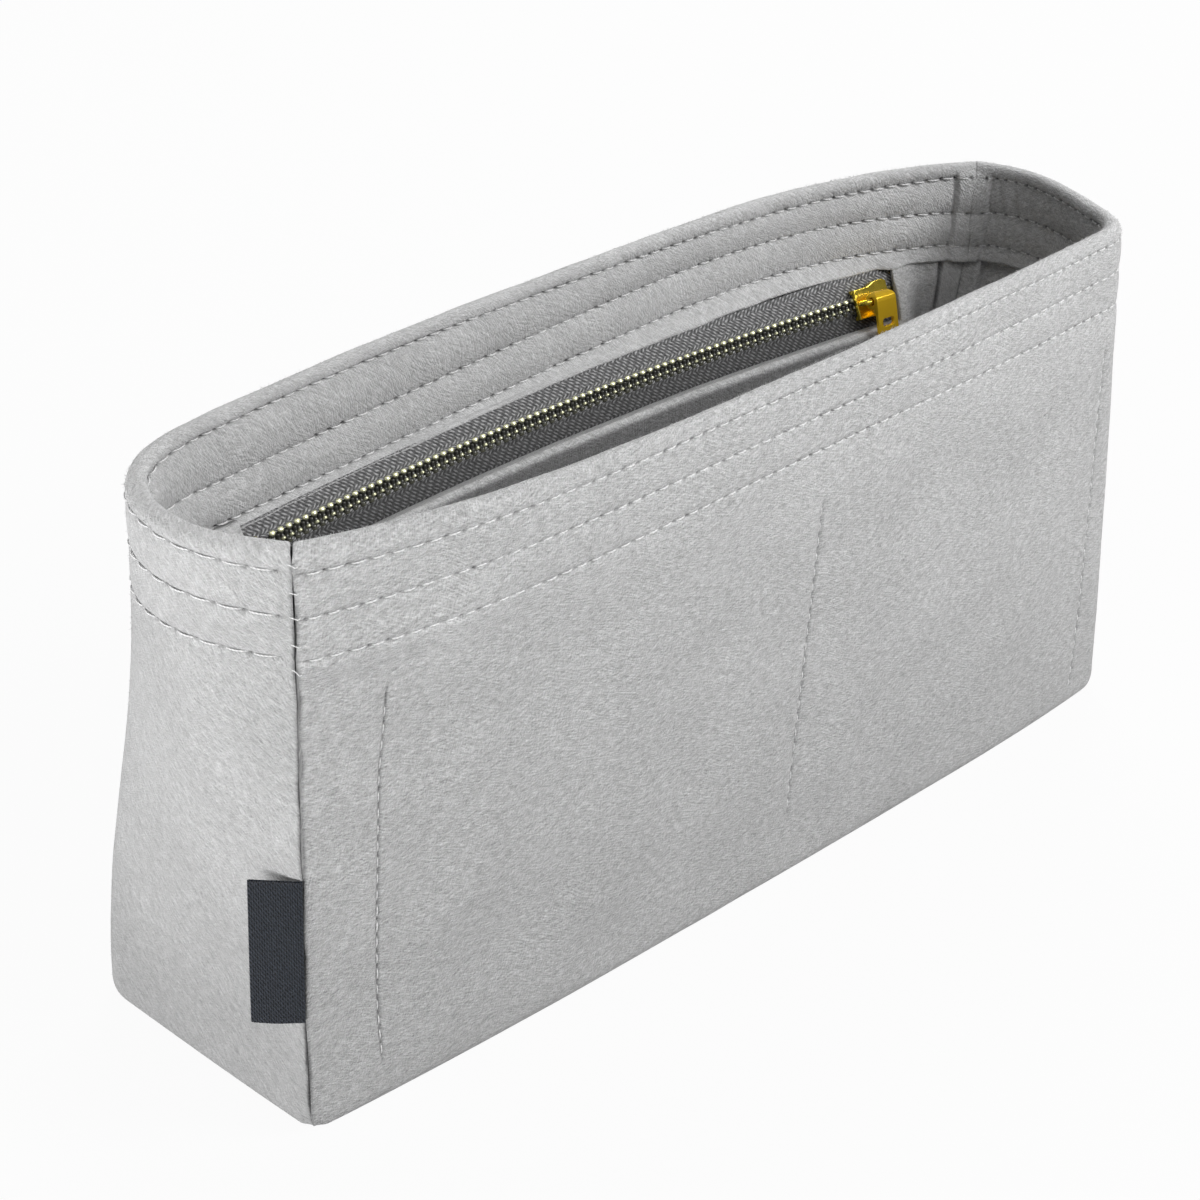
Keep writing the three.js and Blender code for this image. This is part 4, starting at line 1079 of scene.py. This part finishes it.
def tape_material():
    g, place = cloth_graph("woven_tape")
    x, y, _ = g.node("SeparateXYZ", g.strayed(place, (0.7, 0.4, 0.0), (0.9, 0.9, 1), 2.0, 0.6))
    pitch, width, slant = HERRINGBONE
    fold = g.math("ABSOLUTE", g.math("SUBTRACT", g.math("FRACT", g.math("DIVIDE", y, width)), 0.5))
    phase = g.math("SUBTRACT", g.math("DIVIDE", x, pitch), g.math("MULTIPLY", fold, 2 * slant))
    row = g.math("MULTIPLY", g.math("FLOOR", g.math("ADD", phase, 0.25)), 0.5)
    float_end = g.wave(g.math("ADD", g.math("DIVIDE", y, 0.95), row), 2 * pi)
    yarn = g.out("MapRange", g.wave(phase, 2 * pi), -0.5, 0.8, 0.0, 1.0,
                 settings={"interpolation_type": "SMOOTHSTEP"})
    dash = g.math("MULTIPLY", yarn, g.math("MULTIPLY_ADD", float_end, 0.42, 0.58))
    fine = g.noise(place, (0.16, 0.24, 1), 2.0, 0.6)
    uneven = g.noise(place, (1.3, 0.8, 1), 2.0, 0.6)
    tone = g.weighted((dash, 1.35), (fine, 1.2), (uneven, 0.8))
    height = g.math("MULTIPLY_ADD", fine, 0.6, dash)
    return g.finish(height, 0.7, 0.14, Base_Color=g.shaded((0.25, 0.25, 0.254), tone, 0.25), Roughness=0.75,
                    Specular_IOR_Level=0.35, Sheen_Weight=0.12, Sheen_Roughness=0.4)


def metal_material(name, colour, roughness, mottle, size, metallic):
    g = Graph(bpy.data.materials.new(name))
    place = g.node("TexCoord")["Object"]
    fine = g.noise(place, (size * MM,) * 3, 3.0, 0.6)
    broad = g.noise(place, (9 * size * MM,) * 3, 2.0, 0.5)
    tone = g.weighted((fine, mottle), (broad, 1.4 * mottle))
    rough = g.math("ADD", g.weighted((fine, 0.22), (broad, 0.2)), roughness)
    # the stored shade mixes the colour toward a dark grey: painted shade on the teeth; metal without it keeps its
    # full colour
    dull = g.stored("shade", "Fac")
    bright = g.vector("MULTIPLY", g.tinted(colour, tone), g.grey(g.math("SUBTRACT", 1.0, dull)))
    painted_shade = g.vector("MULTIPLY", g.grey(dull), (0.055, 0.055, 0.05))
    return g.finish(fine, 0.12, 0.02, Base_Color=g.vector("ADD", bright, painted_shade), Metallic=metallic, Roughness=rough)


def label_material():
    g, place = cloth_graph("black_satin")
    x, y, _ = g.node("SeparateXYZ", place)
    twill = g.wave(g.math("MULTIPLY_ADD", x, 1.3, y), 8.2)
    weave = g.math("MULTIPLY_ADD", twill, 0.6, g.math("MULTIPLY", g.wave(x, 17.0), 0.4))
    fuzz = g.noise(place, (0.45, 0.4, 1), 2.0, 0.65)
    tone = g.math("MULTIPLY_ADD", weave, 0.75, g.weighted((fuzz, 3.2)))
    return g.finish(weave, 1.0, 0.16, Base_Color=g.tinted((0.021, 0.025, 0.033), tone), Roughness=0.42,
                    Specular_IOR_Level=0.22, Sheen_Weight=0.02, Sheen_Roughness=0.4)


def dress(piece, look, *nodes, body="organizer"):
    """A piece with its material, on the body it rides on, in place of CAD nodes."""
    material, slot = look
    piece.data.materials.clear()
    piece.data.materials.append(material)
    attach(piece, body)
    if nodes:
        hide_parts(*nodes)
    return piece


# Assembly

FELT_LOOK = felt_material("felt_grey", 0.9), "felt"
SOFT_FELT_LOOK = felt_material("felt_grey_soft", 0.7), "felt"
THREAD_LOOK = thread_material(), "felt"
TAPE_LOOK = tape_material(), "zip_tape"
BRASS_LOOK = metal_material("brass_teeth", (0.97, 0.97, 0.64), 0.27, 0.12, 0.5, 0.55), "zip_teeth"
STOP_MATERIAL = metal_material("brass_stops", (0.3, 0.28, 0.18), 0.25, 0.14, 0.4, 1.0)
GOLD_LOOK = metal_material("gold_plate", (0.98, 0.62, 0.03), 0.19, 0.1, 0.6, 0.6), "slider_gold"
CAST_LOOK = metal_material("gold_cast", (0.96, 0.74, 0.1), 0.13, 0.1, 0.6, 0.9), "slider_gold"
LABEL_LOOK = label_material(), "label"

front_wrap = dress(make_wrap("front_wrap_felt", FRONT, 14, 21), FELT_LOOK, "front_wrap")
back_wrap = dress(make_wrap("back_wrap_felt", BACK, -32, 33), SOFT_FELT_LOOK, "back_wrap")
base = dress(make_base(), FELT_LOOK, "base_panel")
zip_panel = dress(make_zip_panel(), FELT_LOOK, "zip_pocket_panel")
pocket_panel = dress(make_pocket_panel(), FELT_LOOK, "front_pocket_panel")

rim_threads = Threads()
for wrap, seed in ((FRONT, 100), (BACK, 200)):
    for number, row in enumerate(wrap.rows):
        sew(rim_threads, on_wrap(wrap, row, False), wrap.holes, seed + number, 0.12)
        # the inside threads are dimmed by painted shade
        sew(rim_threads, on_wrap(wrap, row, True), wrap.holes, seed + 10 + number, 0.68, dull=0.16)
for row, from_fold in ((BACK.rows[1], 214.2), (BACK.rows[2], 220.6)):
    sew(rim_threads, on_wrap(BACK, row, False), from_fold + np.arange(3) * 3.9, 250, 0.14, 0.05, 0.62)
line_threads = Threads()
for number, (lean, low, high) in enumerate(POCKET_SEAMS):
    sew(line_threads, on_line(lean, False), np.arange(low, high, LINE_STITCH), 300 + number, 0.34, 0.05)
    sew(line_threads, on_line(lean, True), np.arange(max(low, 8), POCKET_TOP, LINE_STITCH), 310 + number, 0.3)
for before, after, seed in ((BACK, FRONT, 330), (FRONT, BACK, 340)):
    seam_ladder(line_threads, before, after, seed)
fuzz = dress(make_fuzz(), FELT_LOOK)
rim_thread = dress(rim_threads.piece("rim_stitching"), THREAD_LOOK)
line_thread = dress(line_threads.piece("pocket_stitching"), THREAD_LOOK)

upper_tape = dress(make_tape("upper_tape_weave", True), TAPE_LOOK, "upper_tape")
lower_tape = dress(make_tape("lower_tape_weave", False), TAPE_LOOK, "lower_tape")
upper_cord = dress(make_cord("upper_tape_cord", 1), TAPE_LOOK)
lower_cord = dress(make_cord("lower_tape_cord", -1), TAPE_LOOK)
dress(make_teeth("upper_teeth", 1, 0.0), BRASS_LOOK, "upper_tooth_row")
dress(make_teeth("lower_teeth", -1, TOOTH_PITCH / 2), BRASS_LOOK, "lower_tooth_row")
for stop in ("upper_top_stop", "lower_top_stop", "bottom_stop"):
    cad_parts[stop].data.materials.clear()
    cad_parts[stop].data.materials.append(STOP_MATERIAL)

dress(rounded_copy("slider_cast", "slider_body", 0.1, 4), CAST_LOOK, "slider_body", body="slider")
dress(rounded_copy("bail_cast", "slider_bail", 0.08, 5), CAST_LOOK, "slider_bail", body="slider")
dress(rounded_copy("pull_plate", "pull_tab", 0.09, 4), GOLD_LOOK, "pull_tab", body="pull")
label = dress(make_label(), LABEL_LOOK, "label_tab", body="label")


# Studio

LIT_POINT = Vector((0.0, 0.0, 0.05))
SOFTBOX_REACH = 1.2
WHITE = (1.0, 1.0, 1.0, 1.0)
SKY_LIGHT, GLOSSY_SKY, FLOOR_GLOW = 0.02, 0.2, 0.95
FLOOR_REACH, FLOOR_LEVEL = 4000, -0.25

# The photograph's camera, solved from the walls: degrees, millimetres and pixels
CAMERA_AZIMUTH, CAMERA_ELEVATION, CAMERA_DISTANCE = -44.9, 26.9, 472.0
CAMERA_RIGHT, CAMERA_UP, TARGET_HEIGHT = -9.5, -2.9, 50.0
FOCAL_PIXELS, PHOTO_PIXELS, SENSOR_WIDTH = 2600.1, 1200.0, 36.0


def direction(azimuth, elevation):
    """Away from the object; azimuth 0 is in front, and it grows to the right."""
    a, e = radians(azimuth), radians(elevation)
    return Vector((sin(a) * cos(e), -cos(a) * cos(e), sin(e)))


def add_area(name, place, size, power):
    data = bpy.data.lights.new(name, "AREA")
    data.shape = "RECTANGLE"
    data.size, data.size_y = size
    data.energy = power
    lamp = add_object(name, data)
    lamp.location = place
    lamp.rotation_euler = (LIT_POINT - Vector(place)).to_track_quat("-Z", "Y").to_euler()


for name, azimuth, elevation, size, power in (
    ("front", 0, 35, 0.5, 2.7),
    ("front_right", 35, 35, 0.5, 11.2),
    ("left", -60, 55, 0.5, 1.9),
    ("back_right", 130, 40, 0.6, 10.0),
):
    add_area(name, LIT_POINT + direction(azimuth, elevation) * SOFTBOX_REACH, (size, size), power)
add_area("left_card", (-0.74, 0.08, 0.06), (0.8, 0.1), 5.2)

scene.world = bpy.data.worlds.new("studio")
sky = Graph(scene.world, "Background")
rays = sky.node("LightPath")
seen = sky.math("MAXIMUM", rays["Is Camera Ray"], sky.math("MULTIPLY", rays["Is Glossy Ray"], GLOSSY_SKY))
sky.finish(Color=WHITE, Strength=sky.out("MapRange", Value=seen, To_Min=SKY_LIGHT, To_Max=1.0))

ground = Graph(bpy.data.materials.new("floor_white"))
ground.finish(Base_Color=(0.5, 0.5, 0.5, 1.0), Roughness=0.9, Specular_IOR_Level=0.1)
rays = ground.node("LightPath")
seen = rays["Is Camera Ray"]
for ray in ("Is Glossy Ray", "Is Transmission Ray"):
    seen = ground.math("MAXIMUM", seen, rays[ray])
glow = ground.out("Emission", Color=WHITE, Strength=1.0)
blend = ground.out("MixShader", ground.math("MULTIPLY", seen, FLOOR_GLOW), ground.shader.outputs[0], glow)
ground.put(ground.tree.nodes["Material Output"].inputs, {"Surface": blend})
corners = [(x * FLOOR_REACH, y * FLOOR_REACH, FLOOR_LEVEL) for x, y in ((-1, -1), (1, -1), (1, 1), (-1, 1))]
floor = make_piece("floor", corners, [np.array([[0, 1, 2, 3]])])
floor.data.materials.append(ground.owner)

back = direction(CAMERA_AZIMUTH, CAMERA_ELEVATION)
right = Vector((cos(radians(CAMERA_AZIMUTH)), sin(radians(CAMERA_AZIMUTH)), 0.0))
target = right * CAMERA_RIGHT + back.cross(right) * CAMERA_UP + Vector((0.0, 0.0, TARGET_HEIGHT))
lens = bpy.data.cameras.new("camera")
lens.sensor_width = SENSOR_WIDTH
lens.lens = SENSOR_WIDTH * FOCAL_PIXELS / PHOTO_PIXELS
lens.clip_start, lens.clip_end = 0.01, 20.0
camera = add_object("camera", lens)
camera.location = (target + back * CAMERA_DISTANCE) * MM
camera.rotation_euler = (-back).to_track_quat("-Z", "Y").to_euler()
scene.camera = camera
scene.view_settings.view_transform = "Standard"
